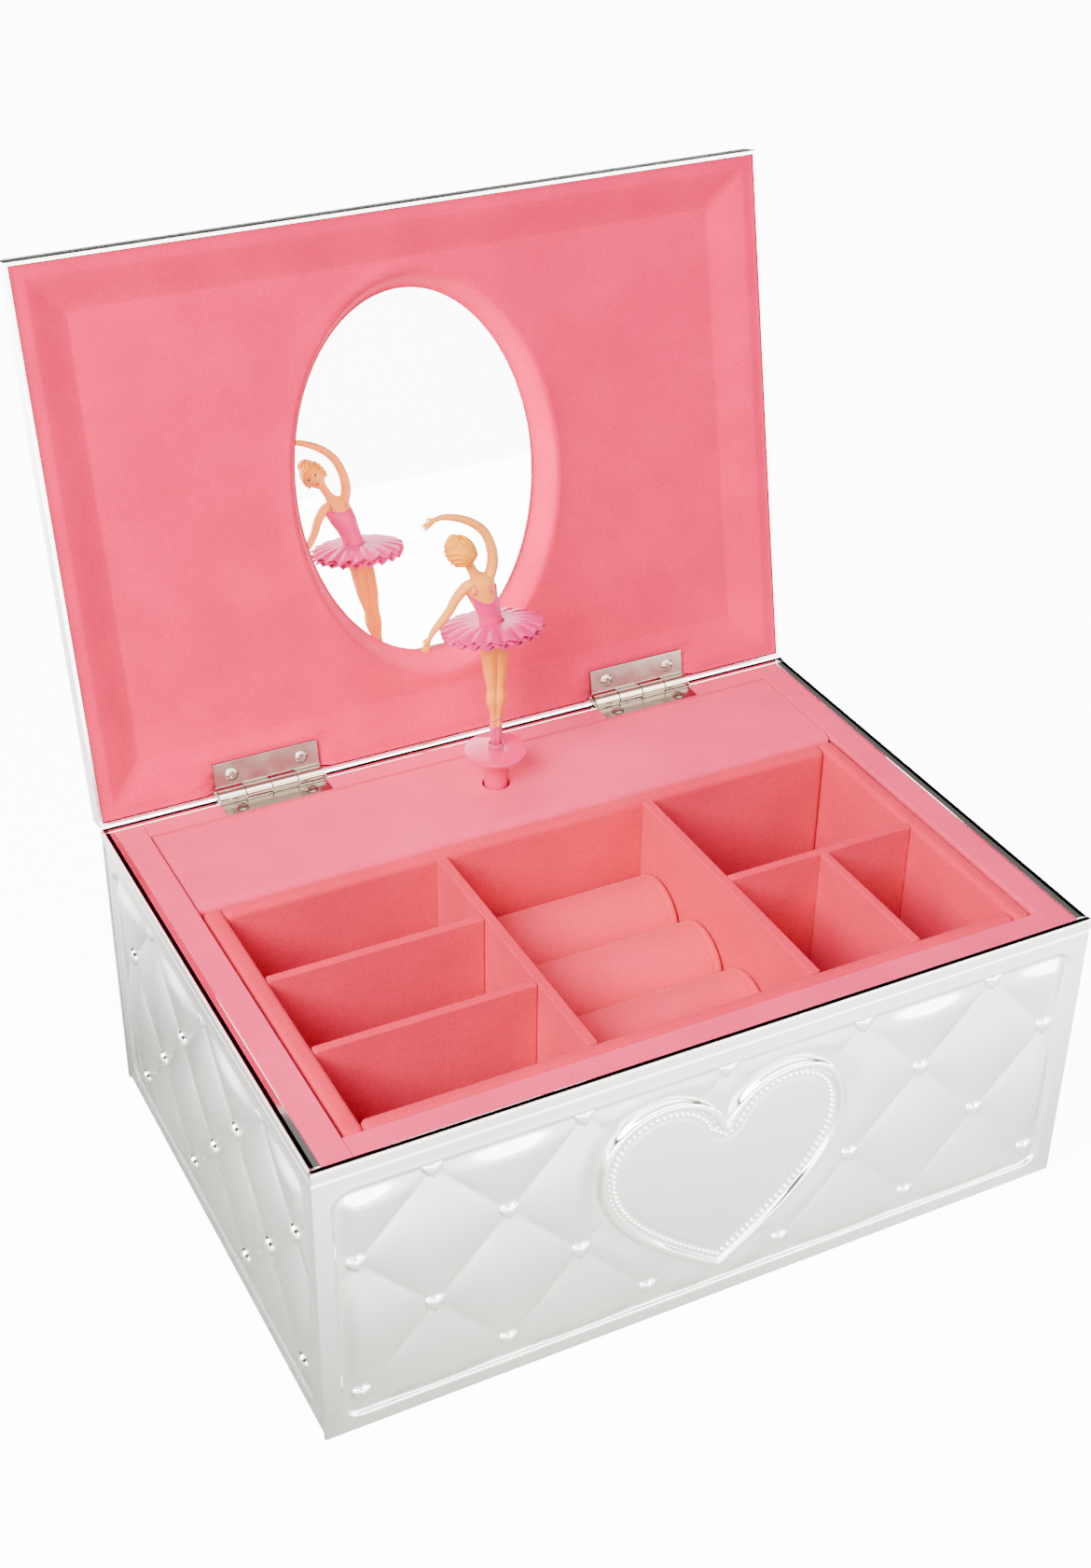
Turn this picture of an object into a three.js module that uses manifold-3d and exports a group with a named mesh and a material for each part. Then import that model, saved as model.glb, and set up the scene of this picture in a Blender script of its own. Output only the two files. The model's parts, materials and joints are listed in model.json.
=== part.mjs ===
// Musical jewellery box with a spinning dancer. Millimetres, +Z up, +Y towards the back.
// Origin: centre of the underside. The lid stands open against its hinges.
import * as THREE from "three";
import { ConvexGeometry } from "three/addons/geometries/ConvexGeometry.js";
import { mergeVertices } from "three/addons/utils/BufferGeometryUtils.js";
import Module from "manifold-3d";

const wasm = await Module();
wasm.setup();

// ---------------------------------------------------------------- driving dimensions
const BOX_WIDTH = 210;
const BOX_DEPTH = 147;
const RIM_HEIGHT = 84;
const GAP = 0.3; // between pieces that touch
const FIT = 0.1; // between fixed pieces with parallel faces

// plated metal panels, with the rim rolled in at the top
const PANEL = { sheet: 1.6, border: 0.25, field: 0.75, rimDrop: 3.2, flange: 1.1, cornerRadius: 5 };
const FLANGE_SIDE = 3.2;
const FLANGE_FRONT = 1.8;
const FLANGE_BACK = 2.6;
const BORDER = { side: 4.4, bottom: 4.6, top: 8.3 };
const HEART = { width: 66, height: 61, centreHeight: 41.5 };

// the dancer's post stands this far in front of the back panel, a little left of the middle
const POST = { x: -1.5, y: BOX_DEPTH / 2 - 25 };

// carcass
const BASE_BOARD = 3.2;
const RAIL = { side: 10.7, ends: 8.6, drop: 0.2 };
const OPENING = { x: BOX_WIDTH / 2 - RAIL.side, y: BOX_DEPTH / 2 - RAIL.ends };
const RAIL_TOP = RIM_HEIGHT - RAIL.drop;
const PARTITION = { front: POST.y - 18.1, thickness: 2.6 };

// tray, with ring rolls in its middle bay
const TRAY_CLEARANCE = { side: 1, front: 0.5, back: 2.8, rim: 0.3 };
const TRAY_DEPTH = 41.9;
const TRAY = {
  x: OPENING.x - TRAY_CLEARANCE.side,
  front: -OPENING.y + TRAY_CLEARANCE.front,
  back: PARTITION.front - TRAY_CLEARANCE.back,
  top: RIM_HEIGHT - TRAY_CLEARANCE.rim,
  bottom: RIM_HEIGHT - TRAY_CLEARANCE.rim - TRAY_DEPTH,
  floor: 1.2,
};
const TRAY_WALL = { side: 4.7, front: 3.9, back: 4.5, lip: 1.6 };
const DIVIDER = 2.8;
const CROSS_DIVIDER = 2.4;
const DIVIDER_DROP = 0.2;
const LONG_DIVIDERS = { a: -29.6, b: 31.5 };
const LEFT_CROSS = [TRAY.front + 59.6, TRAY.front + 30.4];
const RIGHT_CROSS = TRAY.front + 47;
const RIGHT_SHORT = 61;
const ROLL = { count: 3, gap: 0.3, backGap: 1.1, frontSlot: 13.5 };
const TRAY_SUPPORT = 8;

// cover over the music works
const COVER = { front: PARTITION.front - 1.2, thickness: 3.3, clearance: 0.6, nose: 2.4, cornerChamfer: 0.9 };

// hinges
const HINGE = { centreX: 57.2, width: 30, barrel: 2, pin: 0.75, leaf: 0.9, clearance: 0.3 };
const HINGE_AXIS_Y = BOX_DEPTH / 2;
const LID_GAP = 0.3;
const HINGE_AXIS_Z = RIM_HEIGHT + LID_GAP / 2;
const LEAF_REACH = { box: 8.2, lid: 9.2 };
const SCREW = { spread: 10, head: 1.9, headHeight: 0.65, shank: 0.7, length: 4.2, hole: 1 };
const SCREW_REACH = { box: 4.9, lid: 5.5 };
const LID_OPEN_DEGREES = 102.2;

// lid
const LID = { wall: 6.2, height: 15.8, bevelRun: 15, sheet: 1 };
const LINER = { gap: 0.3, border: 3.2, bevelRun: 10, flatDepth: 4.5, sheet: 1.3, top: 0.3 };
const MIRROR_MARGIN = 23.3; // from the lid's front and back edges to the opening
const MIRROR = { x: 35.1, y: BOX_DEPTH / 2 - MIRROR_MARGIN, glass: 1.8, backing: 0.7, lip: 4.5, edge: 1.8 };
const MIRROR_DEPTH = LID.height - LID.sheet - MIRROR.backing - MIRROR.glass - GAP;

// dancer's post and the works under the cover
const DISC = { radius: 8.7, low: RIM_HEIGHT + 9.2, top: RIM_HEIGHT + 11.2 };
const STEM = { radius: 3.25, bore: 1.7, low: RIM_HEIGHT - 17.7, boreTop: RIM_HEIGHT + 7 };
const PIVOT_Z = DISC.top + 1.9;
const FIGURE = {
  toe: PIVOT_Z - 1.4,
  knee: PIVOT_Z + 16.9,
  hip: PIVOT_Z + 31.4,
  waist: PIVOT_Z + 38.9,
  shoulder: PIVOT_Z + 49.4,
  neck: PIVOT_Z + 52.4,
};
const FRAME = { back: OPENING.y - 3.2, front: OPENING.y - 4.9, x0: -27, x1: 20, z0: 5, z1: 54 };
const DRUM = { radius: 6.5, low: 27.6, high: 48.6 };
const PINION = { radius: 2.6, low: 23.2, high: 26.4, teeth: 12 };
const SPINDLE = { radius: 1.25, low: 21.9, high: RIM_HEIGHT - 2.5 };
const BARREL = {
  z: 16, radius: 10.4, front: POST.y + 4.4, back: FRAME.front - 0.5, teeth: 48, toothLength: 1.4, wall: 1.1,
};
const ARBOR = { radius: 1.5, front: POST.y + 3.7, back: BOX_DEPTH / 2 + 6 };
const KEY = { hub: 3, front: BOX_DEPTH / 2 + 1.7, back: BOX_DEPTH / 2 + 8.5, width: 19, height: 11, blade: 1.8 };
const GOVERNOR = { x: 14, y: POST.y + 1.5, low: 27.6, high: 44.9, vane: 4.2, plate: 1.2 };
const COLLAR = { radius: 5, low: RIM_HEIGHT - 20.7, high: RIM_HEIGHT - 18 };
const BRACKET_TOP = 52;

// ---------------------------------------------------------------- solids
function solid(geometry) {
  const bare = geometry.clone();
  bare.deleteAttribute("normal");
  bare.deleteAttribute("uv");
  const merged = mergeVertices(bare, 1e-4);
  return new wasm.Manifold(
    new wasm.Mesh({
      numProp: 3,
      vertProperties: new Float32Array(merged.attributes.position.array),
      triVerts: new Uint32Array(merged.index.array),
    })
  );
}

function toGeometry(body) {
  const mesh = body.getMesh();
  const geometry = new THREE.BufferGeometry();
  const positions = new Float32Array(mesh.vertProperties);
  geometry.setAttribute("position", new THREE.BufferAttribute(positions, 3));
  geometry.setIndex(new THREE.BufferAttribute(new Uint32Array(mesh.triVerts), 1));
  geometry.computeVertexNormals();
  return geometry;
}

function joined(...bodies) {
  return bodies.flat().reduce((whole, next) => whole.add(next));
}

function cut(body, ...tools) {
  return tools.flat().reduce((rest, tool) => rest.subtract(tool), body);
}

function block(x0, x1, y0, y1, z0, z1) {
  const geometry = new THREE.BoxGeometry(x1 - x0, y1 - y0, z1 - z0);
  geometry.translate((x0 + x1) / 2, (y0 + y1) / 2, (z0 + z1) / 2);
  return solid(geometry);
}

// a round bar along one axis ("x", "y" or "z"); the two numbers of "at" are the other coordinates
function bar(axis, at, radius, from, to, sides = 24, farRadius = radius) {
  const geometry = new THREE.CylinderGeometry(farRadius, radius, to - from, sides);
  const middle = (from + to) / 2;
  if (axis === "z") {
    geometry.rotateX(Math.PI / 2);
    geometry.translate(at[0], at[1], middle);
  } else if (axis === "x") {
    geometry.rotateZ(-Math.PI / 2);
    geometry.translate(middle, at[0], at[1]);
  } else {
    geometry.translate(at[0], middle, at[1]);
  }
  return solid(geometry);
}

function hull(points) {
  return solid(new ConvexGeometry(points));
}

function rectangleAt(halfX, y0, y1, z) {
  return [
    new THREE.Vector3(-halfX, y0, z),
    new THREE.Vector3(halfX, y0, z),
    new THREE.Vector3(halfX, y1, z),
    new THREE.Vector3(-halfX, y1, z),
  ];
}

function ellipseAt(centreY, halfX, halfY, z, sides = 40) {
  return Array.from({ length: sides }, (unused, i) => {
    const turn = (2 * Math.PI * i) / sides;
    return new THREE.Vector3(halfX * Math.cos(turn), centreY + halfY * Math.sin(turn), z);
  });
}

function prism(shape, height, curveSegments = 8) {
  return new THREE.ExtrudeGeometry(shape, { depth: height, bevelEnabled: false, curveSegments });
}

function roundedRectangle(x0, x1, y0, y1, r) {
  const shape = new THREE.Shape();
  shape.moveTo(x0 + r, y0);
  shape.lineTo(x1 - r, y0);
  shape.absarc(x1 - r, y0 + r, r, -Math.PI / 2, 0);
  shape.lineTo(x1, y1 - r);
  shape.absarc(x1 - r, y1 - r, r, 0, Math.PI / 2);
  shape.lineTo(x0 + r, y1);
  shape.absarc(x0 + r, y1 - r, r, Math.PI / 2, Math.PI);
  shape.lineTo(x0, y0 + r);
  shape.absarc(x0 + r, y0 + r, r, Math.PI, 1.5 * Math.PI);
  return shape;
}

function material(colour, roughness, metalness, extra = {}) {
  return new THREE.MeshStandardMaterial({ color: colour, roughness, metalness, ...extra });
}

const finish = {
  silver: () => material(0xe9eaec, 0.08, 1),
  flock: () => material(0xf0788a, 0.95, 0),
  board: () => material(0xb98b5e, 0.8, 0),
  mirror: () => material(0xf4f6f8, 0.02, 1),
  nickel: () => material(0xb9b2a6, 0.28, 1),
  brass: () => material(0xc9a24a, 0.3, 1),
  steel: () => material(0x9a9ca0, 0.35, 1),
  pinkPlastic: () => material(0xf06fa0, 0.25, 0, { transparent: true, opacity: 0.85 }),
  skin: () => material(0xf0c090, 0.5, 0),
  dress: () => material(0xe070a8, 0.3, 0),
  hair: () => material(0xefa040, 0.55, 0),
};

const box = new THREE.Group();

function add(name, body, look, parent = box) {
  const mesh = new THREE.Mesh(toGeometry(body), look());
  mesh.name = name;
  parent.add(mesh);
  return mesh;
}

// ---------------------------------------------------------------- panels
// Drawn lying in X (along) and Y (up) with the outer face towards +Z, then stood up.
function heartShape(scale = 1) {
  const w = (HEART.width / 2) * scale;
  const h = HEART.height * scale;
  const low = -h * 0.56;
  const lobe = h * 0.44;
  const shape = new THREE.Shape();
  shape.moveTo(0, low);
  shape.bezierCurveTo(w * 0.32, low + h * 0.2, w, -h * 0.1, w, h * 0.14);
  shape.bezierCurveTo(w, h * 0.36, w * 0.74, lobe, w * 0.5, lobe);
  shape.bezierCurveTo(w * 0.26, lobe, w * 0.08, h * 0.36, 0, h * 0.2);
  shape.bezierCurveTo(-w * 0.08, h * 0.36, -w * 0.26, lobe, -w * 0.5, lobe);
  shape.bezierCurveTo(-w * 0.74, lobe, -w, h * 0.36, -w, h * 0.14);
  shape.bezierCurveTo(-w, -h * 0.1, -w * 0.32, low + h * 0.2, 0, low);
  return shape;
}

function flatPanel(length, flangeWidth, flangeLength) {
  const half = length / 2;
  const plate = block(-half, half, 0, RIM_HEIGHT, -PANEL.sheet, -PANEL.border);
  const rimLow = RIM_HEIGHT - PANEL.rimDrop;
  const roll = block(-half, half, rimLow, RIM_HEIGHT, -PANEL.sheet, 0);
  const flangeLow = RIM_HEIGHT - PANEL.flange;
  const flange = block(-flangeLength / 2, flangeLength / 2, flangeLow, RIM_HEIGHT, -flangeWidth, 0);
  const pocket = roundedRectangle(
    -half + BORDER.side,
    half - BORDER.side,
    BORDER.bottom,
    RIM_HEIGHT - BORDER.top,
    PANEL.cornerRadius
  );
  const field = prism(pocket, PANEL.sheet, 4);
  field.translate(0, 0, -PANEL.field);
  return cut(joined(plate, roll, flange), solid(field));
}

// where each panel's outer face ends up: a turn about Z of the front panel, then a shift
function standUp(body, turn, x, y) {
  const placed = new THREE.Matrix4().makeTranslation(x, y, 0);
  placed.multiply(new THREE.Matrix4().makeRotationZ(turn));
  placed.multiply(new THREE.Matrix4().makeRotationX(Math.PI / 2));
  return body.transform(placed.elements);
}

const sideLength = BOX_DEPTH - 2 * (PANEL.sheet + FIT);
const keyHole = bar("y", [POST.x, BARREL.z], ARBOR.radius + 2, OPENING.y - 1, BOX_DEPTH / 2 + 1);

function barrelNotches(reachDown, reachUp) {
  const half = HINGE.width / 2 + HINGE.clearance + FIT;
  const room = HINGE.barrel + HINGE.clearance;
  return [-1, 1].map((side) => {
    const x = side * HINGE.centreX;
    return block(x - half, x + half, HINGE_AXIS_Y - room, BOX_DEPTH, reachDown, reachUp);
  });
}
const boxNotches = barrelNotches(HINGE_AXIS_Z - HINGE.barrel - HINGE.clearance, RIM_HEIGHT + 2);

// room in the box for the hinge leaves and their screws
const leafTop = HINGE_AXIS_Z - HINGE.barrel + HINGE.leaf;
const leafLow = HINGE_AXIS_Z - HINGE.barrel;
const leafRecesses = [];
const lowerShankHoles = [];
for (const side of [-1, 1]) {
  const x = side * HINGE.centreX;
  const half = HINGE.width / 2 + HINGE.clearance + FIT;
  const front = HINGE_AXIS_Y - LEAF_REACH.box - HINGE.clearance;
  leafRecesses.push(block(x - half, x + half, front, BOX_DEPTH, leafLow - FIT, RIM_HEIGHT + 1));
  for (const hand of [-1, 1]) {
    const at = [x + hand * SCREW.spread, HINGE_AXIS_Y - SCREW_REACH.box];
    lowerShankHoles.push(bar("z", at, SCREW.hole, leafTop - SCREW.length - 1, leafTop, 12));
  }
}

const heart = prism(heartShape(), PANEL.field + PANEL.sheet / 2 - FIT, 10);
heart.translate(0, HEART.centreHeight, -PANEL.field - PANEL.sheet / 2 + FIT);
const frontPanel = flatPanel(BOX_WIDTH, FLANGE_FRONT, BOX_WIDTH).add(solid(heart));
add("front_panel", standUp(frontPanel, 0, 0, -BOX_DEPTH / 2), finish.silver);

const backPanel = flatPanel(BOX_WIDTH, FLANGE_BACK, BOX_WIDTH);
const backStood = standUp(backPanel, Math.PI, 0, BOX_DEPTH / 2);
add("back_panel", cut(backStood, keyHole, boxNotches, leafRecesses), finish.silver);

const sideFlange = BOX_DEPTH - FLANGE_FRONT - FLANGE_BACK - 2 * FIT;
const underRim = RIM_HEIGHT - PANEL.flange - FIT;
const flangeRoom = [
  block(-BOX_WIDTH, BOX_WIDTH, -BOX_DEPTH, -BOX_DEPTH / 2 + FLANGE_FRONT + FIT, underRim, RIM_HEIGHT + 1),
  block(-BOX_WIDTH, BOX_WIDTH, BOX_DEPTH / 2 - FLANGE_BACK - FIT, BOX_DEPTH, underRim, RIM_HEIGHT + 1),
];
for (const [name, side] of [["left_panel", -1], ["right_panel", 1]]) {
  const shift = (side * (FLANGE_FRONT - FLANGE_BACK)) / 2;
  const plain = flatPanel(sideLength, PANEL.sheet, sideLength);
  const low = RIM_HEIGHT - PANEL.flange;
  const half = sideFlange / 2;
  const flange = block(shift - half, shift + half, low, RIM_HEIGHT, -FLANGE_SIDE, -PANEL.sheet / 2);
  const stood = standUp(plain.add(flange), (side * Math.PI) / 2, (side * BOX_WIDTH) / 2, 0);
  add(name, cut(stood, flangeRoom), finish.silver);
}

// ---------------------------------------------------------------- carcass
const inside = { x: BOX_WIDTH / 2 - PANEL.sheet - FIT, y: BOX_DEPTH / 2 - PANEL.sheet - FIT };
const underFlange = RIM_HEIGHT - PANEL.flange - FIT;
const railX = BOX_WIDTH / 2 - FLANGE_SIDE - FIT;
const railFront = -BOX_DEPTH / 2 + FLANGE_FRONT + FIT;
const railBack = BOX_DEPTH / 2 - FLANGE_BACK - FIT;
const boardTop = BASE_BOARD + FIT;

add("base_board", block(-inside.x, inside.x, -inside.y, inside.y, 0, BASE_BOARD), finish.board);

for (const [name, side] of [["inner_wall_left", -1], ["inner_wall_right", 1]]) {
  const [w0, w1] = side < 0 ? [-inside.x, -OPENING.x] : [OPENING.x, inside.x];
  const [r0, r1] = side < 0 ? [-railX, -OPENING.x] : [OPENING.x, railX];
  const wall = block(w0, w1, -inside.y, inside.y, boardTop, underFlange);
  add(name, wall.add(block(r0, r1, railFront, railBack, underFlange - 1, RAIL_TOP)), finish.flock);
}

const betweenX = OPENING.x - FIT;
const frontWall = block(-betweenX, betweenX, -inside.y, -OPENING.y, boardTop, underFlange);
const frontRail = block(-betweenX, betweenX, railFront, -OPENING.y, underFlange - 1, RAIL_TOP);
add("inner_wall_front", frontWall.add(frontRail), finish.flock);

const backWall = block(-betweenX, betweenX, OPENING.y, inside.y, boardTop, underFlange);
const backRail = block(-betweenX, betweenX, OPENING.y, railBack, underFlange - 1, RAIL_TOP);
add(
  "inner_wall_back",
  cut(backWall.add(backRail), keyHole, boxNotches, leafRecesses, lowerShankHoles),
  finish.flock
);

const partitionBack = PARTITION.front + PARTITION.thickness;
const coverLow = RAIL_TOP - COVER.thickness;
add(
  "works_partition",
  block(-betweenX, betweenX, PARTITION.front, partitionBack, boardTop, coverLow - FIT),
  finish.board
);

// cover with a rounded front edge, drawn as a profile in Y and Z and drawn out along X
const coverBack = OPENING.y - 4 * FIT;
const coverProfile = new THREE.Shape();
coverProfile.moveTo(COVER.front, coverLow);
coverProfile.lineTo(coverBack, coverLow);
coverProfile.lineTo(coverBack, RAIL_TOP - COVER.cornerChamfer);
coverProfile.absarc(
  coverBack - COVER.cornerChamfer, RAIL_TOP - COVER.cornerChamfer, COVER.cornerChamfer, 0, Math.PI / 2
);
coverProfile.lineTo(COVER.front + COVER.nose, RAIL_TOP);
coverProfile.absarc(COVER.front + COVER.nose, RAIL_TOP - COVER.nose, COVER.nose, Math.PI / 2, Math.PI);
const coverHalf = OPENING.x - 6 * FIT;
const coverBody = prism(coverProfile, 2 * coverHalf, 4);
coverBody.applyMatrix4(new THREE.Matrix4().set(0, 0, 1, -coverHalf, 1, 0, 0, 0, 0, 1, 0, 0, 0, 0, 0, 1));
const postHole = bar("z", [POST.x, POST.y], STEM.radius + COVER.clearance, coverLow - 1, RAIL_TOP + 1);
const coverLeafRoom = [-1, 1].map((side) => {
  const half = HINGE.width / 2 + HINGE.clearance;
  const x = side * HINGE.centreX;
  return block(x - half, x + half, HINGE_AXIS_Y - LEAF_REACH.box - HINGE.clearance, BOX_DEPTH, leafLow, 90);
});
add("works_cover", cut(solid(coverBody), postHole, coverLeafRoom), finish.flock);

// ---------------------------------------------------------------- tray
// a wall with a softened top, drawn in its thickness and height
function wallProfile(t0, t1, low, high, r) {
  const shape = new THREE.Shape();
  shape.moveTo(t0, low);
  shape.lineTo(t1, low);
  shape.lineTo(t1, high - r);
  shape.absarc(t1 - r, high - r, r, 0, Math.PI / 2);
  shape.lineTo(t0 + r, high);
  shape.absarc(t0 + r, high - r, r, Math.PI / 2, Math.PI);
  return shape;
}

const alongX = (from) => new THREE.Matrix4().set(0, 0, 1, from, 1, 0, 0, 0, 0, 1, 0, 0, 0, 0, 0, 1);
const alongY = (from) => new THREE.Matrix4().set(1, 0, 0, 0, 0, 0, 1, from, 0, 1, 0, 0, 0, 0, 0, 1);

// walls along X are a cyclic turn of the drawing; walls along Y are a mirror of it, so they are flipped
function wallAlongX(x0, x1, y0, y1, low, high, r) {
  const geometry = prism(wallProfile(y0, y1, low, high, r), x1 - x0, 3);
  geometry.applyMatrix4(alongX(x0));
  return solid(geometry);
}

function wallAlongY(y0, y1, x0, x1, low, high, r) {
  const profile = wallProfile(x0, x1, low, high, r);
  const geometry = prism(profile, y1 - y0, 3);
  geometry.applyMatrix4(alongY(y0));
  const index = mergeVertices(geometry);
  const order = index.index.array;
  for (let i = 0; i < order.length; i += 3) {
    [order[i], order[i + 1]] = [order[i + 1], order[i]];
  }
  return solid(index);
}

const trayFloorTop = TRAY.bottom + TRAY.floor;
const wallLow = trayFloorTop + FIT;
const dividerTop = TRAY.top - DIVIDER_DROP;
const traySideIn = TRAY.x - TRAY_WALL.side;
const trayFrontIn = TRAY.front + TRAY_WALL.front;
const trayBackIn = TRAY.back - TRAY_WALL.back;
const lip = TRAY_WALL.lip;

add(
  "tray_floor",
  block(-TRAY.x, TRAY.x, TRAY.front, TRAY.back, TRAY.bottom, trayFloorTop),
  finish.flock
);
add(
  "tray_wall_left",
  wallAlongY(TRAY.front, TRAY.back, -TRAY.x, -traySideIn, wallLow, TRAY.top, lip),
  finish.flock
);
add(
  "tray_wall_right",
  wallAlongY(TRAY.front, TRAY.back, traySideIn, TRAY.x, wallLow, TRAY.top, lip),
  finish.flock
);
const acrossX = traySideIn - FIT;
add(
  "tray_wall_front",
  wallAlongX(-acrossX, acrossX, TRAY.front, trayFrontIn, wallLow, TRAY.top, lip),
  finish.flock
);
add(
  "tray_wall_back",
  wallAlongX(-acrossX, acrossX, trayBackIn, TRAY.back, wallLow, TRAY.top, lip),
  finish.flock
);

const bayFront = trayFrontIn + FIT;
const bayBack = trayBackIn - FIT;
for (const [name, x] of [["tray_divider_left", LONG_DIVIDERS.a], ["tray_divider_right", LONG_DIVIDERS.b]]) {
  const half = DIVIDER / 2;
  add(name, wallAlongY(bayFront, bayBack, x - half, x + half, wallLow, dividerTop, 0.5), finish.flock);
}
const leftBayIn = LONG_DIVIDERS.a - DIVIDER / 2 - FIT;
LEFT_CROSS.forEach((y, i) => {
  const half = CROSS_DIVIDER / 2;
  const body = wallAlongX(-acrossX, leftBayIn, y - half, y + half, wallLow, dividerTop, 0.5);
  add(`tray_cross_left_${i + 1}`, body, finish.flock);
});
const rightBayIn = LONG_DIVIDERS.b + DIVIDER / 2 + FIT;
const crossHalf = CROSS_DIVIDER / 2;
add(
  "tray_cross_right",
  wallAlongX(rightBayIn, acrossX, RIGHT_CROSS - crossHalf, RIGHT_CROSS + crossHalf, wallLow, dividerTop, 0.5),
  finish.flock
);
add(
  "tray_short_divider",
  wallAlongY(
    bayFront, RIGHT_CROSS - crossHalf - FIT,
    RIGHT_SHORT - crossHalf, RIGHT_SHORT + crossHalf, wallLow, dividerTop, 0.5
  ),
  finish.flock
);

const rollLeft = LONG_DIVIDERS.a + DIVIDER / 2 + GAP;
const rollRight = LONG_DIVIDERS.b - DIVIDER / 2 - GAP;
const rollRoom = trayBackIn - trayFrontIn - ROLL.backGap - ROLL.frontSlot - (ROLL.count - 1) * ROLL.gap;
const rollRadius = rollRoom / ROLL.count / 2;
const rollZ = trayFloorTop + rollRadius + FIT;
for (let i = 0; i < ROLL.count; i += 1) {
  const y = trayBackIn - ROLL.backGap - rollRadius - i * (2 * rollRadius + ROLL.gap);
  add(`ring_roll_${i + 1}`, bar("x", [y, rollZ], rollRadius, rollLeft, rollRight, 28), finish.flock);
}

for (const [name, side] of [["tray_support_left", -1], ["tray_support_right", 1]]) {
  const outer = TRAY.x - 1;
  const [x0, x1] = side < 0 ? [-outer, -outer + TRAY_SUPPORT] : [outer - TRAY_SUPPORT, outer];
  add(name, block(x0, x1, TRAY.front, TRAY.back, boardTop, TRAY.bottom - FIT), finish.board);
}

// ---------------------------------------------------------------- hinges
// The lid's pieces are drawn closed and turned open about the hinge axis.
const lid = new THREE.Group();
lid.position.set(0, HINGE_AXIS_Y, HINGE_AXIS_Z);
lid.rotation.x = THREE.MathUtils.degToRad(-LID_OPEN_DEGREES);
box.add(lid);
const lidFrame = new THREE.Group();
lidFrame.position.set(0, -HINGE_AXIS_Y, -HINGE_AXIS_Z);
lid.add(lidFrame);
const lidRim = RIM_HEIGHT + LID_GAP;

const knuckle = HINGE.width / 4;
function knucklesOf(x, first) {
  return [first, first + 2].map((n) => {
    const from = x - HINGE.width / 2 + n * knuckle + (n > 0 ? GAP / 2 : 0);
    const to = x - HINGE.width / 2 + (n + 1) * knuckle - (n < 3 ? GAP / 2 : 0);
    return [from, to];
  });
}

// side +1 is the leaf on the lid, drawn closed; -1 is the leaf on the box
function hingeLeaf(x, first, side, reach) {
  const near = HINGE_AXIS_Y - HINGE.barrel - GAP;
  const outer = HINGE_AXIS_Z + side * HINGE.barrel;
  const inner = outer - side * HINGE.leaf;
  const [z0, z1] = [Math.min(outer, inner), Math.max(outer, inner)];
  const half = HINGE.width / 2;
  const plate = block(x - half, x + half, HINGE_AXIS_Y - reach, near, z0, z1);
  const centre = [HINGE_AXIS_Y, HINGE_AXIS_Z];
  const rolls = knucklesOf(x, first).flatMap(([from, to]) => [
    bar("x", centre, HINGE.barrel, from, to, 20),
    block(from, to, near - 0.5, HINGE_AXIS_Y, z0, z1),
  ]);
  const bore = bar("x", centre, HINGE.pin + GAP / 2, x - half - 1, x + half + 1, 16);
  const reachToScrew = side > 0 ? SCREW_REACH.lid : SCREW_REACH.box;
  const holes = [-1, 1].map((hand) =>
    bar("z", [x + hand * SCREW.spread, HINGE_AXIS_Y - reachToScrew], SCREW.hole, z0 - 1, z1 + 1, 12)
  );
  return cut(joined(plate, rolls), bore, holes);
}

// side +1 drives up into the lid, -1 down into the box
function hingeScrew(x, side) {
  const reach = side > 0 ? SCREW_REACH.lid : SCREW_REACH.box;
  const at = [x, HINGE_AXIS_Y - reach];
  const seat = HINGE_AXIS_Z + side * (HINGE.barrel - HINGE.leaf - FIT);
  const crown = seat - side * SCREW.headHeight;
  const tip = seat + side * SCREW.length;
  const head = bar("z", at, side > 0 ? SCREW.head * 0.6 : SCREW.head, Math.min(seat, crown),
    Math.max(seat, crown), 16, side > 0 ? SCREW.head : SCREW.head * 0.6);
  const shank = bar("z", at, SCREW.shank, Math.min(crown, tip), Math.max(crown, tip), 10);
  const slot = [
    [0.9, 0.25],
    [0.25, 0.9],
  ].map(([a, b]) => block(x - a, x + a, at[1] - b, at[1] + b, crown - 0.4, crown + 0.4));
  return cut(head.add(shank), slot);
}

for (const [word, side] of [["left", -1], ["right", 1]]) {
  const x = side * HINGE.centreX;
  add(`hinge_${word}_box_leaf`, hingeLeaf(x, 0, -1, LEAF_REACH.box), finish.nickel);
  add(`hinge_${word}_lid_leaf`, hingeLeaf(x, 1, 1, LEAF_REACH.lid), finish.nickel, lidFrame);
  const pinHalf = HINGE.width / 2 + HINGE.clearance / 2;
  const pin = bar("x", [HINGE_AXIS_Y, HINGE_AXIS_Z], HINGE.pin, x - pinHalf, x + pinHalf, 14);
  add(`hinge_${word}_pin`, pin, finish.nickel);
  for (const [hand, offset] of [["a", -SCREW.spread], ["b", SCREW.spread]]) {
    add(`hinge_${word}_box_screw_${hand}`, hingeScrew(x + offset, -1), finish.nickel);
    add(`hinge_${word}_lid_screw_${hand}`, hingeScrew(x + offset, 1), finish.nickel, lidFrame);
  }
}

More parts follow.
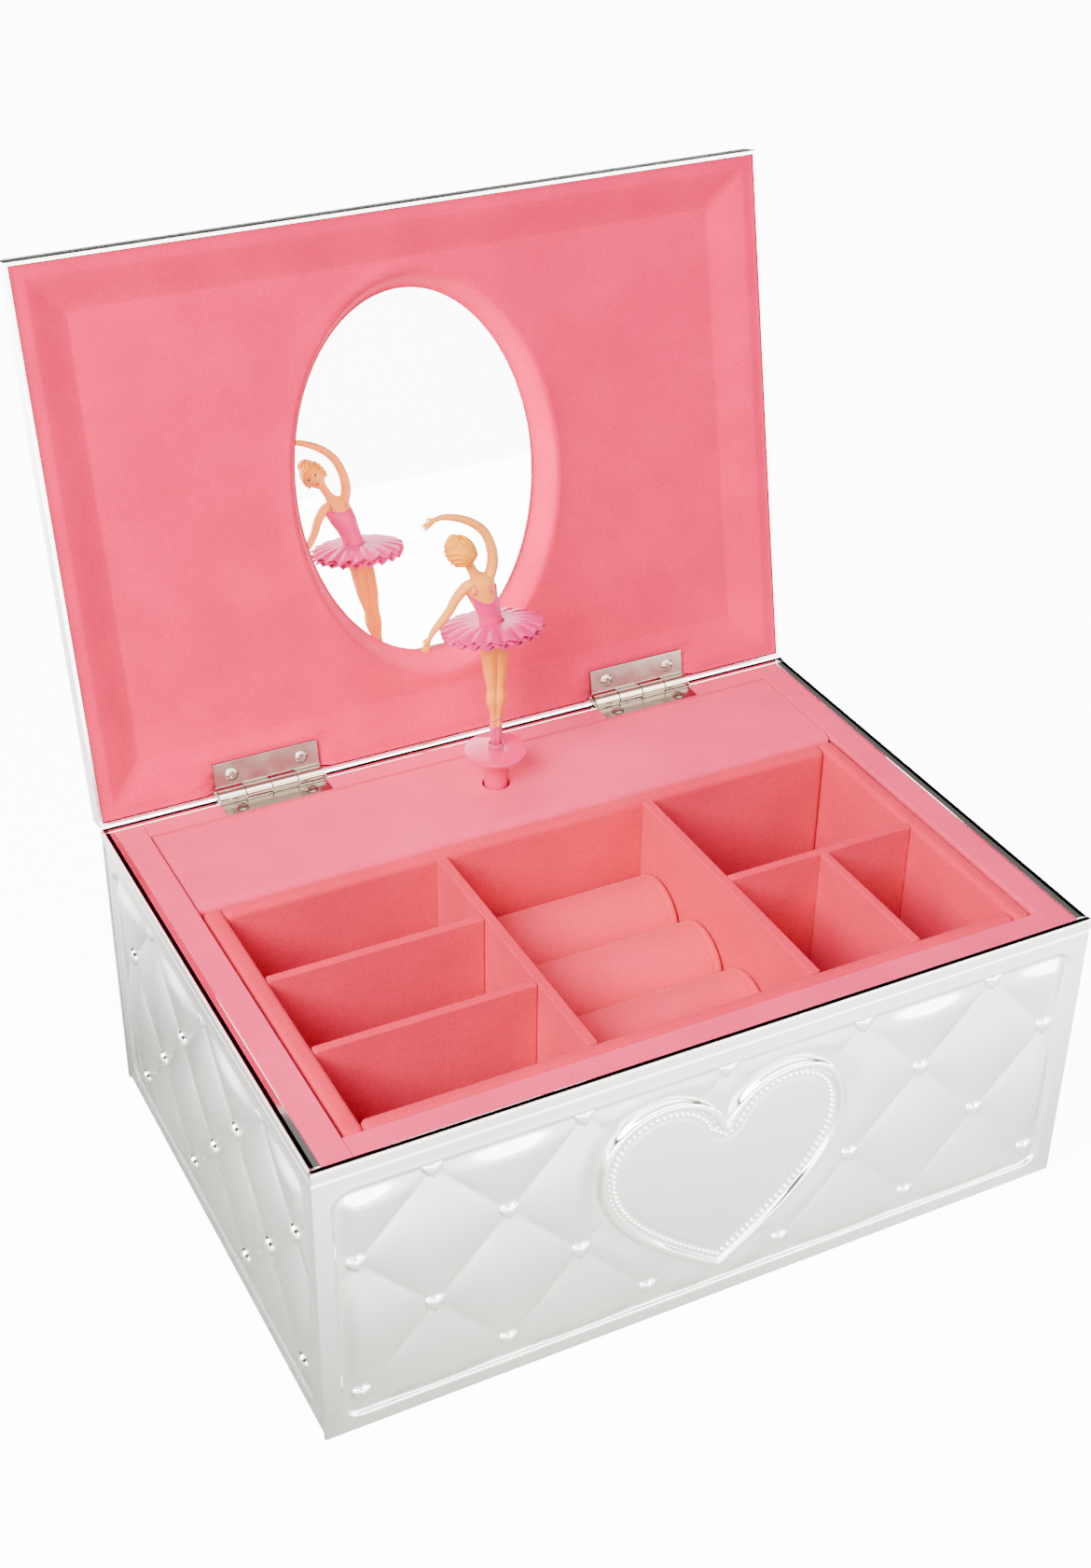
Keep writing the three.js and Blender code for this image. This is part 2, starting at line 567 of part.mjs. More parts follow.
// ---------------------------------------------------------------- lid, drawn closed
const lidTop = lidRim + LID.height;
function lidBlank(inset, wallHeight, height, low) {
  const halfX = BOX_WIDTH / 2 - inset;
  const halfY = BOX_DEPTH / 2 - inset;
  const run = LID.bevelRun;
  return hull([
    ...rectangleAt(halfX, -halfY, halfY, low),
    ...rectangleAt(halfX, -halfY, halfY, lidRim + wallHeight),
    ...rectangleAt(halfX - run, -halfY + run, halfY - run, lidRim + height),
  ]);
}
const lidNotches = barrelNotches(lidRim - 1, HINGE_AXIS_Z + HINGE.barrel + HINGE.clearance);
const lidInside = lidBlank(LID.sheet, LID.wall - LID.sheet / 2, LID.height - LID.sheet, lidRim - 1);
const lidOutside = lidBlank(0, LID.wall, LID.height, lidRim);
add("lid_shell", cut(lidOutside, lidInside, lidNotches), finish.silver, lidFrame);

const linerHalf = { x: BOX_WIDTH / 2 - LID.sheet - LINER.gap, y: BOX_DEPTH / 2 - LID.sheet - LINER.gap };
const linerFace = lidRim + LINER.top;
const flatZ = lidRim + LINER.flatDepth;
const mirrorZ = lidRim + MIRROR_DEPTH;
const mirrorY = 0;

function linerLayer(offset, low) {
  const bevelIn = LINER.border + LINER.bevelRun;
  const start = { x: linerHalf.x - LINER.border + offset, y: linerHalf.y - LINER.border + offset };
  const end = { x: linerHalf.x - bevelIn + offset, y: linerHalf.y - bevelIn + offset };
  const dish = hull([
    ...rectangleAt(start.x, -start.y, start.y, low),
    ...rectangleAt(start.x, -start.y, start.y, linerFace + offset),
    ...rectangleAt(end.x, -end.y, end.y, flatZ + offset),
  ]);
  const well = hull([
    ...ellipseAt(mirrorY, MIRROR.x + MIRROR.lip + offset, MIRROR.y + MIRROR.lip * 0.8 + offset, flatZ - 1),
    ...ellipseAt(mirrorY, MIRROR.x + MIRROR.lip + offset, MIRROR.y + MIRROR.lip * 0.8 + offset, flatZ + offset),
    ...ellipseAt(mirrorY, MIRROR.x + offset, MIRROR.y + offset, mirrorZ + (offset > 0 ? 0 : 1)),
  ]);
  return dish.add(well);
}
const padTop = flatZ + LINER.sheet;
const hingePads = [-1, 1].map((side) => {
  const x = side * HINGE.centreX;
  const half = HINGE.width / 2 + 1;
  const front = HINGE_AXIS_Y - LEAF_REACH.lid - 1;
  return block(x - half, x + half, front, linerHalf.y, linerFace, padTop);
});
const lidLeafTop = HINGE_AXIS_Z + HINGE.barrel;
const lidLeafRecesses = [-1, 1].flatMap((side) => {
  const x = side * HINGE.centreX;
  const half = HINGE.width / 2 + HINGE.clearance;
  const front = HINGE_AXIS_Y - LEAF_REACH.lid - HINGE.clearance;
  const shanks = [-1, 1].map((hand) =>
    bar("z", [x + hand * SCREW.spread, HINGE_AXIS_Y - SCREW_REACH.lid], SCREW.hole, lidRim, padTop + 3, 12)
  );
  return [block(x - half, x + half, front, BOX_DEPTH, lidRim - 1, lidLeafTop + FIT), ...shanks];
});
const linerSheet = block(-linerHalf.x, linerHalf.x, -linerHalf.y, linerHalf.y, linerFace, linerFace + LINER.sheet);
const linerSolid = cut(linerSheet.add(linerLayer(LINER.sheet, linerFace)), linerLayer(0, lidRim - 2));
const linerInShell = lidBlank(LID.sheet + GAP, LID.wall - 1, LID.height - LID.sheet - GAP, lidRim - 1);
add(
  "lid_liner",
  cut(linerSolid.add(joined(hingePads)).intersect(linerInShell), lidLeafRecesses, lidNotches),
  finish.flock,
  lidFrame
);

const glassLow = mirrorZ + GAP;
const glassRing = (z) => ellipseAt(mirrorY, MIRROR.x + MIRROR.edge, MIRROR.y + MIRROR.edge, z, 48);
add(
  "lid_mirror",
  hull([...glassRing(glassLow), ...glassRing(glassLow + MIRROR.glass)]),
  finish.mirror,
  lidFrame
);

// ---------------------------------------------------------------- music works
const postAt = [POST.x, POST.y];
const keyAt = [POST.x, BARREL.z];
const plate = block(FRAME.x0, FRAME.x1, FRAME.front, FRAME.back, FRAME.z0, FRAME.z1);
const bracketReach = POST.y - 5;
const topBracket = block(POST.x - 6.5, POST.x + 6.5, bracketReach, FRAME.front + 1, BRACKET_TOP - 1.6, BRACKET_TOP);
const footHigh = PINION.low - 0.6;
const footLow = footHigh - 1.4;
const footBracket = block(POST.x - 4, 15, bracketReach, POST.y + 2, footLow, footHigh).add(
  block(11.2, 15, bracketReach, FRAME.front + 1, footLow, footHigh)
);
const combBridge = block(-26, -19, POST.y + 1.6, FRAME.front + 1, DRUM.low, DRUM.high);
const governorPlates = [
  [GOVERNOR.low - GOVERNOR.plate, GOVERNOR.low],
  [GOVERNOR.high, GOVERNOR.high + GOVERNOR.plate],
].map(([low, high]) => block(9.5, FRAME.x1 - 1, GOVERNOR.y - 1.4, FRAME.front + 1, low, high));
const bearings = [
  bar("z", postAt, SPINDLE.radius + GAP, 40, 60, 16),
  bar("z", postAt, SPINDLE.radius + GAP, SPINDLE.low - FIT, footHigh + 1, 16),
  bar("z", [GOVERNOR.x, GOVERNOR.y], 0.95, GOVERNOR.low - GOVERNOR.plate + 0.5, GOVERNOR.high + 0.8, 12),
  bar("y", keyAt, ARBOR.radius + GAP, FRAME.front - 1, FRAME.back + 1, 16),
];
const feet = [FRAME.x0, FRAME.x1 - 6].flatMap((x) =>
  [FRAME.z0, FRAME.z1 - 6].map((z) => block(x, x + 6, FRAME.front, OPENING.y - FIT, z, z + 6))
);
const frameParts = [plate, topBracket, footBracket, combBridge, governorPlates, feet];
add("movement_frame", cut(joined(frameParts.flat()), bearings), finish.steel);

// comb: teeth stacked in Z, pointing at the drum
const combShape = new THREE.Shape();
const combTip = POST.x - DRUM.radius - 0.9;
const combRoot = -17;
const toothPitch = (DRUM.high - DRUM.low - 3) / 18;
combShape.moveTo(-26, DRUM.low + 1);
combShape.lineTo(combRoot, DRUM.low + 1);
for (let i = 0; i < 18; i += 1) {
  const low = DRUM.low + 1.5 + i * toothPitch;
  combShape.lineTo(combRoot, low);
  combShape.lineTo(combTip, low);
  combShape.lineTo(combTip, low + toothPitch * 0.6);
  combShape.lineTo(combRoot, low + toothPitch * 0.6);
}
combShape.lineTo(combRoot, DRUM.high - 1);
combShape.lineTo(-26, DRUM.high - 1);
const combBody = prism(combShape, 1.2);
combBody.applyMatrix4(new THREE.Matrix4().makeRotationX(Math.PI / 2));
combBody.translate(0, POST.y + 1.6 - FIT, 0);
add("music_comb", solid(combBody), finish.steel);

// drum with a spiral of pins
const pins = Array.from({ length: 18 }, (unused, i) => {
  const turn = i * 2.4;
  const pin = new THREE.BoxGeometry(1, 0.5, 0.5);
  pin.translate(DRUM.radius, 0, 0);
  pin.rotateZ(turn);
  pin.translate(POST.x, POST.y, DRUM.low + 2 + i * toothPitch);
  return solid(pin);
});
const drum = joined(bar("z", postAt, DRUM.radius, DRUM.low, DRUM.high, 32), pins);
add("music_cylinder", cut(drum, bar("z", postAt, SPINDLE.radius + GAP, 20, 60, 16)), finish.brass);

const pinionTeeth = Array.from({ length: PINION.teeth }, (unused, i) => {
  const tooth = new THREE.BoxGeometry(1, 0.5, PINION.high - PINION.low);
  tooth.translate(PINION.radius - 0.5, 0, 0);
  tooth.rotateZ((2 * Math.PI * i) / PINION.teeth);
  tooth.translate(POST.x, POST.y, (PINION.low + PINION.high) / 2);
  return solid(tooth);
});
add(
  "drive_spindle",
  joined(
    bar("z", postAt, SPINDLE.radius, SPINDLE.low, SPINDLE.high, 16),
    bar("z", postAt, PINION.radius - 0.7, PINION.low, PINION.high, 18),
    pinionTeeth
  ),
  finish.steel
);

// spring barrel with a contrate wheel on its front face
const barrelTeeth = Array.from({ length: BARREL.teeth }, (unused, i) => {
  const tooth = new THREE.BoxGeometry(1.6, BARREL.toothLength + 0.4, 0.6);
  tooth.translate(BARREL.radius - 1, 0, 0);
  tooth.rotateY((2 * Math.PI * i) / BARREL.teeth);
  tooth.translate(keyAt[0], BARREL.front - BARREL.toothLength / 2 + 0.2, keyAt[1]);
  return solid(tooth);
});
const barrelCup = cut(
  bar("y", keyAt, BARREL.radius, BARREL.front, BARREL.back, 32),
  bar("y", keyAt, BARREL.radius - BARREL.wall, BARREL.front + 1.3, BARREL.back + 1, 32),
  bar("y", keyAt, ARBOR.radius + GAP, BARREL.front - 1, BARREL.back + 1, 16)
);
add("spring_barrel", joined(barrelCup, barrelTeeth), finish.brass);

// mainspring: a flat strip wound in a spiral
const springTurns = 4;
const springStrip = 0.6;
const springOut = [];
const springIn = [];
for (let i = 0; i <= springTurns * 14; i += 1) {
  const turn = (2 * Math.PI * i) / 14;
  const r = 2.6 + ((BARREL.radius - BARREL.wall - 3.6) * i) / (springTurns * 14);
  springOut.push(new THREE.Vector2((r + springStrip) * Math.cos(turn), (r + springStrip) * Math.sin(turn)));
  springIn.push(new THREE.Vector2(r * Math.cos(turn), r * Math.sin(turn)));
}
const spring = prism(new THREE.Shape([...springOut, ...springIn.reverse()]), 3.8);
spring.rotateX(-Math.PI / 2);
spring.translate(keyAt[0], BARREL.front + 1.7, keyAt[1]);
add("mainspring", solid(spring), finish.steel);

add("winding_arbor", bar("y", keyAt, ARBOR.radius, ARBOR.front, ARBOR.back, 16), finish.steel);

// winding key: a socket on the arbor and a flat bow
const keyShape = roundedRectangle(-KEY.width / 2, KEY.width / 2, 0, KEY.height, 4.4);
const keyBlade = prism(keyShape, KEY.blade, 4);
keyBlade.rotateX(Math.PI / 2);
keyBlade.rotateX(-Math.PI / 2);
keyBlade.translate(0, 0, -KEY.blade / 2);
keyBlade.translate(keyAt[0], KEY.back - 2, keyAt[1]);
const keySocket = cut(
  bar("y", keyAt, KEY.hub, KEY.front, KEY.back, 20),
  bar("y", keyAt, ARBOR.radius + GAP, KEY.front - 1, ARBOR.back + GAP, 16)
);
add("winding_key", keySocket.add(solid(keyBlade)), finish.brass);

// governor fly: a worm spindle with two vanes
const flyAt = [GOVERNOR.x, GOVERNOR.y];
add(
  "governor_fly",
  joined(
    bar("z", flyAt, 0.65, GOVERNOR.low - 0.4, GOVERNOR.high + 0.5, 12),
    bar("z", flyAt, 1.5, GOVERNOR.low + 2, GOVERNOR.low + 6, 12),
    block(flyAt[0] - GOVERNOR.vane, flyAt[0] + GOVERNOR.vane, flyAt[1] - 0.3, flyAt[1] + 0.3, 36, 43)
  ),
  finish.steel
);

// stop collar: slides with the post and carries the wire that blocks the fly
const wireZ = (COLLAR.low + COLLAR.high) / 2;
const wireEnd = { x: GOVERNOR.x, y: GOVERNOR.y - 3, z: COLLAR.low - 15.7 };
const wireRadius = 0.6;
const reachLength = wireEnd.x - POST.x - COLLAR.radius + 1;
const wireArm = block(
  wireEnd.x - reachLength, wireEnd.x + wireRadius, wireEnd.y - wireRadius, wireEnd.y + wireRadius,
  wireZ - wireRadius, wireZ + wireRadius
);
const wireDrop = bar("z", [wireEnd.x, wireEnd.y], wireRadius, wireEnd.z, wireZ, 10);
add(
  "stop_collar",
  cut(
    joined(bar("z", postAt, COLLAR.radius, COLLAR.low, COLLAR.high, 24), wireArm, wireDrop),
    bar("z", postAt, SPINDLE.radius + GAP, COLLAR.low - 1, COLLAR.high + 1, 16)
  ),
  finish.steel
);

// helical springs: a round wire along a helix
class Helix extends THREE.Curve {
  constructor(radius, low, high, turns) {
    super();
    Object.assign(this, { radius, low, high, turns });
  }

  getPoint(t, target = new THREE.Vector3()) {
    const turn = 2 * Math.PI * this.turns * t;
    return target.set(
      POST.x + this.radius * Math.cos(turn),
      POST.y + this.radius * Math.sin(turn),
      this.low + (this.high - this.low) * t
    );
  }
}

function coil(radius, wire, low, high, turns, stepsPerTurn) {
  const section = new THREE.Shape();
  section.absarc(0, 0, wire, 0, 2 * Math.PI);
  const path = new Helix(radius, low + wire, high - wire, turns);
  return new THREE.ExtrudeGeometry(section, {
    extrudePath: path,
    steps: turns * stepsPerTurn,
    curveSegments: 4,
    bevelEnabled: false,
  });
}
add("post_spring", solid(coil(3, 0.45, BRACKET_TOP + 2 * FIT, COLLAR.low - FIT, 6, 9)), finish.steel);

// pedestal: hollow stem and disc
const disc = new THREE.LatheGeometry(
  [
    new THREE.Vector2(0, DISC.low),
    new THREE.Vector2(DISC.radius - 0.8, DISC.low),
    new THREE.Vector2(DISC.radius, DISC.low + 0.8),
    new THREE.Vector2(DISC.radius - 0.4, DISC.top - 0.5),
    new THREE.Vector2(DISC.radius - 1.6, DISC.top),
    new THREE.Vector2(0, DISC.top),
  ],
  36
);
disc.rotateX(Math.PI / 2);
disc.translate(POST.x, POST.y, 0);
add(
  "pedestal",
  cut(
    joined(solid(disc), bar("z", postAt, STEM.radius, STEM.low, DISC.low + 0.5, 28)),
    bar("z", postAt, STEM.bore, STEM.low - 1, STEM.boreTop, 16)
  ),
  finish.pinkPlastic
);
add("figure_spring", solid(coil(2.2, 0.35, DISC.top + FIT, PIVOT_Z + 1.5, 3, 12)), finish.dress);

// ---------------------------------------------------------------- dancer
// The dancer leans to her left as seen from the front of the box.
function at(dx, dy, z) {
  return new THREE.Vector3(POST.x + dx, POST.y + dy, z);
}

// a limb of round sections between points, each joined to the next by a hull of two rings
function limb(stations, sides = 12) {
  const pieces = [];
  for (let i = 0; i + 1 < stations.length; i += 1) {
    const points = [];
    for (const [dx, dy, z, rx, ry] of [stations[i], stations[i + 1]]) {
      for (let k = 0; k < sides; k += 1) {
        const turn = (2 * Math.PI * k) / sides;
        points.push(at(dx + rx * Math.cos(turn), dy + (ry ?? rx) * Math.sin(turn), z));
      }
    }
    pieces.push(hull(points));
  }
  return joined(pieces);
}

// a limb through free points, each joined to the next by a hull of two balls
function arm(stations) {
  const pieces = [];
  for (let i = 0; i + 1 < stations.length; i += 1) {
    const points = [];
    for (const [dx, dy, z, r] of [stations[i], stations[i + 1]]) {
      const ball = new THREE.IcosahedronGeometry(r, 1).attributes.position;
      for (let k = 0; k < ball.count; k += 1) {
        points.push(at(dx + ball.getX(k), dy + ball.getY(k), z + ball.getZ(k)));
      }
    }
    pieces.push(hull(points));
  }
  return joined(pieces);
}

const lean = { hip: -0.6, waist: -1.6, shoulder: -4.6, head: -9.8 };
const legs = limb([
  [0, 0, FIGURE.toe, 0.9, 0.9],
  [0, 0, FIGURE.toe + 3, 1.3, 1.15],
  [0, 0, FIGURE.toe + 10, 1.7, 1.5],
  [0, 0, FIGURE.knee - 3, 2.7, 2.4],
  [0, 0, FIGURE.knee + 2, 2.9, 2.6],
  [lean.hip, 0, FIGURE.hip - 2, 3.8, 3.2],
  [lean.hip, 0, FIGURE.hip + 3, 4.2, 3.4],
  [lean.waist, 0, FIGURE.waist, 3.2, 2.6],
  [lean.waist - 1.2, 0, FIGURE.waist + 5, 4, 2.9],
  [lean.shoulder, 0, FIGURE.shoulder, 4.4, 2.5],
  [lean.shoulder - 1.2, 0, FIGURE.neck, 1.7, 1.6],
  [lean.head + 2, 0, FIGURE.neck + 3, 1.5, 1.5],
]);
const headAt = [lean.head, 0.4, FIGURE.neck + 4.6];
const head = arm([
  [headAt[0] + 0.3, headAt[1], headAt[2] - 1.2, 3.1],
  [headAt[0], headAt[1], headAt[2] + 0.8, 3.5],
]);
const raisedArm = arm([
  [lean.shoulder + 4, 0, FIGURE.shoulder - 0.5, 1.5],
  [0.6, 0.6, PIVOT_Z + 56.9, 1.3],
  [-2.6, 0.8, PIVOT_Z + 62.9, 1.2],
  [-8, 0.8, PIVOT_Z + 66.9, 1.05],
  [-15, 0.6, PIVOT_Z + 67.9, 0.9],
  [-20.5, 0.6, PIVOT_Z + 65.1, 0.7],
]);
const loweredArm = arm([
  [lean.shoulder - 4, 0, FIGURE.shoulder - 0.5, 1.5],
  [-12, 0, PIVOT_Z + 42.9, 1.25],
  [-17, 0.6, PIVOT_Z + 36.4, 1.1],
  [-20.5, 0.6, PIVOT_Z + 31.7, 0.9],
  [-22, 0.6, PIVOT_Z + 28.5, 0.6],
]);
add("dancer_body", joined(legs, head, raisedArm, loweredArm), finish.skin);

// skirt: a soft ring that flares from the hips
const skirtHole = 4.75;
const skirt = new THREE.LatheGeometry(
  [
    new THREE.Vector2(skirtHole, PIVOT_Z + 35.3),
    new THREE.Vector2(skirtHole, PIVOT_Z + 37.1),
    new THREE.Vector2(8.5, PIVOT_Z + 37.5),
    new THREE.Vector2(12, PIVOT_Z + 36.9),
    new THREE.Vector2(13.9, PIVOT_Z + 34.7),
    new THREE.Vector2(13.5, PIVOT_Z + 32.3),
    new THREE.Vector2(9, PIVOT_Z + 32.7),
    new THREE.Vector2(skirtHole, PIVOT_Z + 35.3),
  ].reverse(),
  32
);
skirt.rotateX(Math.PI / 2);
skirt.translate(POST.x + lean.hip - 0.2, POST.y, 0);
const armRoom = arm([
  [-12, 0, PIVOT_Z + 42.9, 1.9],
  [-17, 0.6, PIVOT_Z + 36.4, 1.8],
  [-20.5, 0.6, PIVOT_Z + 31.7, 1.6],
]);
add("dancer_skirt", cut(solid(skirt), armRoom), finish.dress);

// hair: a cap over the head with a bun, kept a little off the head
const hairCap = arm([
  [headAt[0] - 0.5, headAt[1] + 0.1, headAt[2] + 1.3, 4.25],
  [headAt[0] - 0.9, headAt[1] - 0.6, headAt[2] + 2, 3.9],
]);
const bun = arm([
  [headAt[0] - 3, headAt[1] - 2.4, headAt[2] + 4, 2.3],
  [headAt[0] - 3.8, headAt[1] - 2.6, headAt[2] + 3.6, 2.1],
]);
const faceRoom = arm([
  [headAt[0] + 0.3, headAt[1], headAt[2] - 1.2, 3.45],
  [headAt[0], headAt[1], headAt[2] + 0.8, 3.85],
]);
const faceSide = block(-60, 60, POST.y + headAt[1] + 1.2, POST.y + 20, headAt[2] - 8, headAt[2] + 1.6);
const underHair = block(-60, 60, POST.y - 20, POST.y + 20, headAt[2] - 9, headAt[2] - 1.8);
add("dancer_hair", cut(hairCap.add(bun), faceRoom, faceSide, underHair), finish.hair);

export default box;
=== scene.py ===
"""Looks of a musical jewellery box: plated panels, flocked linings, hinges, mirror, works and dancer.

Every size is in metres in the box's own frame: +Z up, +Y towards the hinges, origin under its middle.
"""

import json

import bmesh
import bpy
import numpy as np
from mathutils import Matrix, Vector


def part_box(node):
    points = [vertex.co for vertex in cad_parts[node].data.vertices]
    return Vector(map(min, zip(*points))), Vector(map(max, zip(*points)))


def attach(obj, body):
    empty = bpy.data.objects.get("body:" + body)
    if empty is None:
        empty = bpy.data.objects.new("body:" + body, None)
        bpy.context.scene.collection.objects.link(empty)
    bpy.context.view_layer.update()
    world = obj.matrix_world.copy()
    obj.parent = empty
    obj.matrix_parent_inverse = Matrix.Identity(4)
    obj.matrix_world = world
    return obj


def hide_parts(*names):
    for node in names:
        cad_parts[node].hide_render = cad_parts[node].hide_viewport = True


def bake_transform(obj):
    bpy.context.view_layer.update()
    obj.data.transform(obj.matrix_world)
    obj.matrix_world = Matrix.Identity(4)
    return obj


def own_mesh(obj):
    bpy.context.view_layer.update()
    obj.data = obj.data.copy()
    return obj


bl_info = {
    "name": "Musical Jewellery Box",
    "version": (1, 0, 0),
    "blender": (4, 5, 0),
    "location": "View3D > Sidebar > Jewellery Box",
    "description": "Builds the visible pieces of a musical jewellery box around its solid model",
    "category": "Add Mesh",
}

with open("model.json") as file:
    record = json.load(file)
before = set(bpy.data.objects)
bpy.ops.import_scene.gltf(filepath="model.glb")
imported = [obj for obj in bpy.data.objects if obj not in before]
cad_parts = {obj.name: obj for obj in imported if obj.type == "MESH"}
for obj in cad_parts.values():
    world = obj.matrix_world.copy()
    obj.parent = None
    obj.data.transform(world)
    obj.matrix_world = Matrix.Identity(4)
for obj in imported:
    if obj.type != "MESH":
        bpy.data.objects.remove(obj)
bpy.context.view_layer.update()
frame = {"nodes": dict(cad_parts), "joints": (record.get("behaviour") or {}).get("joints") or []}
MM = 0.001

# ------------------------------------------------------------------ sizes read from the solid model


def node_box(name):
    """Lowest and highest corner of a solid, in millimetres."""
    low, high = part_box(name)
    return np.array(low) / MM, np.array(high) / MM


FRONT_LOW, FRONT_HIGH = node_box("front_panel")
BACK_LOW, BACK_HIGH = node_box("back_panel")
BOX_WIDTH = FRONT_HIGH[0] - FRONT_LOW[0]
BOX_DEPTH = BACK_HIGH[1] - FRONT_LOW[1]
RIM_HEIGHT = FRONT_HIGH[2]
JOINTS = {joint["name"]: joint for joint in frame["joints"]}
LID_AXIS = np.array(JOINTS["lid_hinge"]["pos_m"]) / MM
LID_OPEN = np.radians(JOINTS["lid_hinge"]["range_deg"][1])
PIVOT = np.array(JOINTS["figure_tilt"]["pos_m"]) / MM
LID_GAP = 2 * (LID_AXIS[2] - RIM_HEIGHT)
LID_RIM = RIM_HEIGHT + LID_GAP
OVAL = np.array([35.1, BOX_DEPTH / 2 - 23.3])

# Where the camera stands, in metres, and how it is turned, in degrees.
CAMERA_PLACE = (-0.2261, -0.4118, 0.4162)
CAMERA_ANGLES = (56.988, -0.743, -27.037)
CAMERA_LENS = 51.47

# ------------------------------------------------------------------ colours


def linear(hex_colour):
    """An sRGB hex colour as linear RGBA."""
    value = np.array([int(hex_colour[i : i + 2], 16) for i in (1, 3, 5)]) / 255
    rgb = np.where(value <= 0.04045, value / 12.92, ((value + 0.055) / 1.055) ** 2.4)
    return (*map(float, rgb), 1.0)


def colour_prop(name, description, hex_colour):
    """A colour the user can change."""
    return bpy.props.FloatVectorProperty(
        name=name, description=description, subtype="COLOR", size=4, min=0, max=1,
        default=linear(hex_colour),
    )


def length_prop(name, description, millimetres):
    """A length the user can change, kept in metres."""
    return bpy.props.FloatProperty(
        name=name, description=description, default=millimetres * MM, unit="LENGTH", precision=5,
    )


class PlatingSettings(bpy.types.PropertyGroup):
    """Plated metal panels and lid"""

    colour: colour_prop("Plating", "Colour of the bright plating", "#E2E0DB")
    puff: length_prop("Puff height", "How far each quilted diamond stands out", 1.9)
    pitch: length_prop("Heart pitch", "Distance between small hearts along a row", 38.2)
    row: length_prop("Row height", "Distance between rows of small hearts", 20.9)
    small_heart: length_prop("Small heart", "Width of a small heart", 5.6)
    large_heart: length_prop("Large heart", "Width of the large heart", 69.4)
    bead: length_prop("Bead", "Radius of the beads round the large heart", 0.72)


class LiningSettings(bpy.types.PropertyGroup):
    """Flocked linings, tray and rolls"""

    rail: colour_prop("Rail flock", "Colour of the flocked rail and cover", "#F13F6C")
    tray: colour_prop("Tray flock", "Colour of the flocked tray", "#DE2648")
    lid: colour_prop("Lid flock", "Colour of the flocked lid liner", "#EA1A54")
    roll: colour_prop("Roll flock", "Colour of the ring rolls", "#EA3855")


class DancerSettings(bpy.types.PropertyGroup):
    """The dancer and the post"""

    skin: colour_prop("Skin", "Colour of the doll's skin", "#FA9A34")
    dress: colour_prop("Dress", "Colour of the costume", "#DE1C74")
    hair: colour_prop("Hair", "Colour of the doll's hair", "#F29400")
    pedestal: colour_prop("Pedestal", "Colour of the post and disc", "#F0246E")


# ------------------------------------------------------------------ node materials


def add_node(tree, kind, inputs=(), links=(), **settings):
    """Adds one shader node: settings are its properties, inputs its values, links (input, output socket)."""
    node = tree.nodes.new(kind)
    for key, value in settings.items():
        setattr(node, key, value)
    for key, value in dict(inputs).items():
        node.inputs[key].default_value = value
    for key, socket in dict(links).items():
        tree.links.new(socket, node.inputs[key])
    return node


def new_material(name):
    """A material with only an output and a Principled shader; returns material, tree and shader."""
    material = bpy.data.materials.new(name)
    material.use_nodes = True
    tree = material.node_tree
    tree.nodes.clear()
    shader = add_node(tree, "ShaderNodeBsdfPrincipled")
    add_node(tree, "ShaderNodeOutputMaterial", links={"Surface": shader.outputs["BSDF"]})
    return material, tree, shader


def two_tone(tree, vector, scale, colours, span):
    """A colour that wanders between two colours with a noise of that scale."""
    noise = add_node(tree, "ShaderNodeTexNoise", {"Scale": scale, "Detail": 3.0}, {"Vector": vector})
    ramp = add_node(tree, "ShaderNodeValToRGB", links={"Fac": noise.outputs["Fac"]})
    for element, colour, place in zip(ramp.color_ramp.elements, colours, span):
        element.color = colour
        element.position = place
    return ramp.outputs["Color"]


def shade_of(colour, factor):
    """The colour made lighter or darker, its alpha kept at 1."""
    return (*(min(1.0, c * factor) for c in colour[:3]), 1.0)


def flock_material(name, colour, contrast=0.05):
    """Flocking, short nylon pile stuck on card: fully matte, a soft sheen at its edges, a mottled nap.

    The real pile is finer than a tenth of a millimetre; its grain is drawn at 0.4 mm so that it shows.
    """
    material, tree, shader = new_material(name)
    place = add_node(tree, "ShaderNodeTexCoord").outputs["Object"]
    nap = two_tone(
        tree, place, 55.0, (shade_of(colour, 1 - contrast), shade_of(colour, 1 + contrast)), (0.35, 0.68)
    )
    grain = add_node(tree, "ShaderNodeTexNoise", {"Scale": 2400.0, "Detail": 2.0}, {"Vector": place})
    speck = add_node(
        tree, "ShaderNodeMapRange", {"From Min": 0.3, "From Max": 0.7, "To Min": 0.9, "To Max": 1.08},
        {"Value": grain.outputs["Fac"]},
    )
    pile = add_node(
        tree, "ShaderNodeMix", {"Factor": 1.0}, data_type="RGBA", blend_type="MULTIPLY"
    )
    tree.links.new(nap, pile.inputs["A"])
    tree.links.new(speck.outputs["Result"], pile.inputs["B"])
    tree.links.new(pile.outputs["Result"], shader.inputs["Base Color"])
    bump = add_node(
        tree, "ShaderNodeBump", {"Strength": 0.25, "Distance": 0.0002}, {"Height": grain.outputs["Fac"]}
    )
    tree.links.new(bump.outputs["Normal"], shader.inputs["Normal"])
    shader.inputs["Roughness"].default_value = 0.95
    shader.inputs["Specular IOR Level"].default_value = 0.06
    shader.inputs["Sheen Weight"].default_value = 0.08
    shader.inputs["Sheen Roughness"].default_value = 0.45
    shader.inputs["Sheen Tint"].default_value = (1.0, 0.86, 0.88, 1.0)
    return material


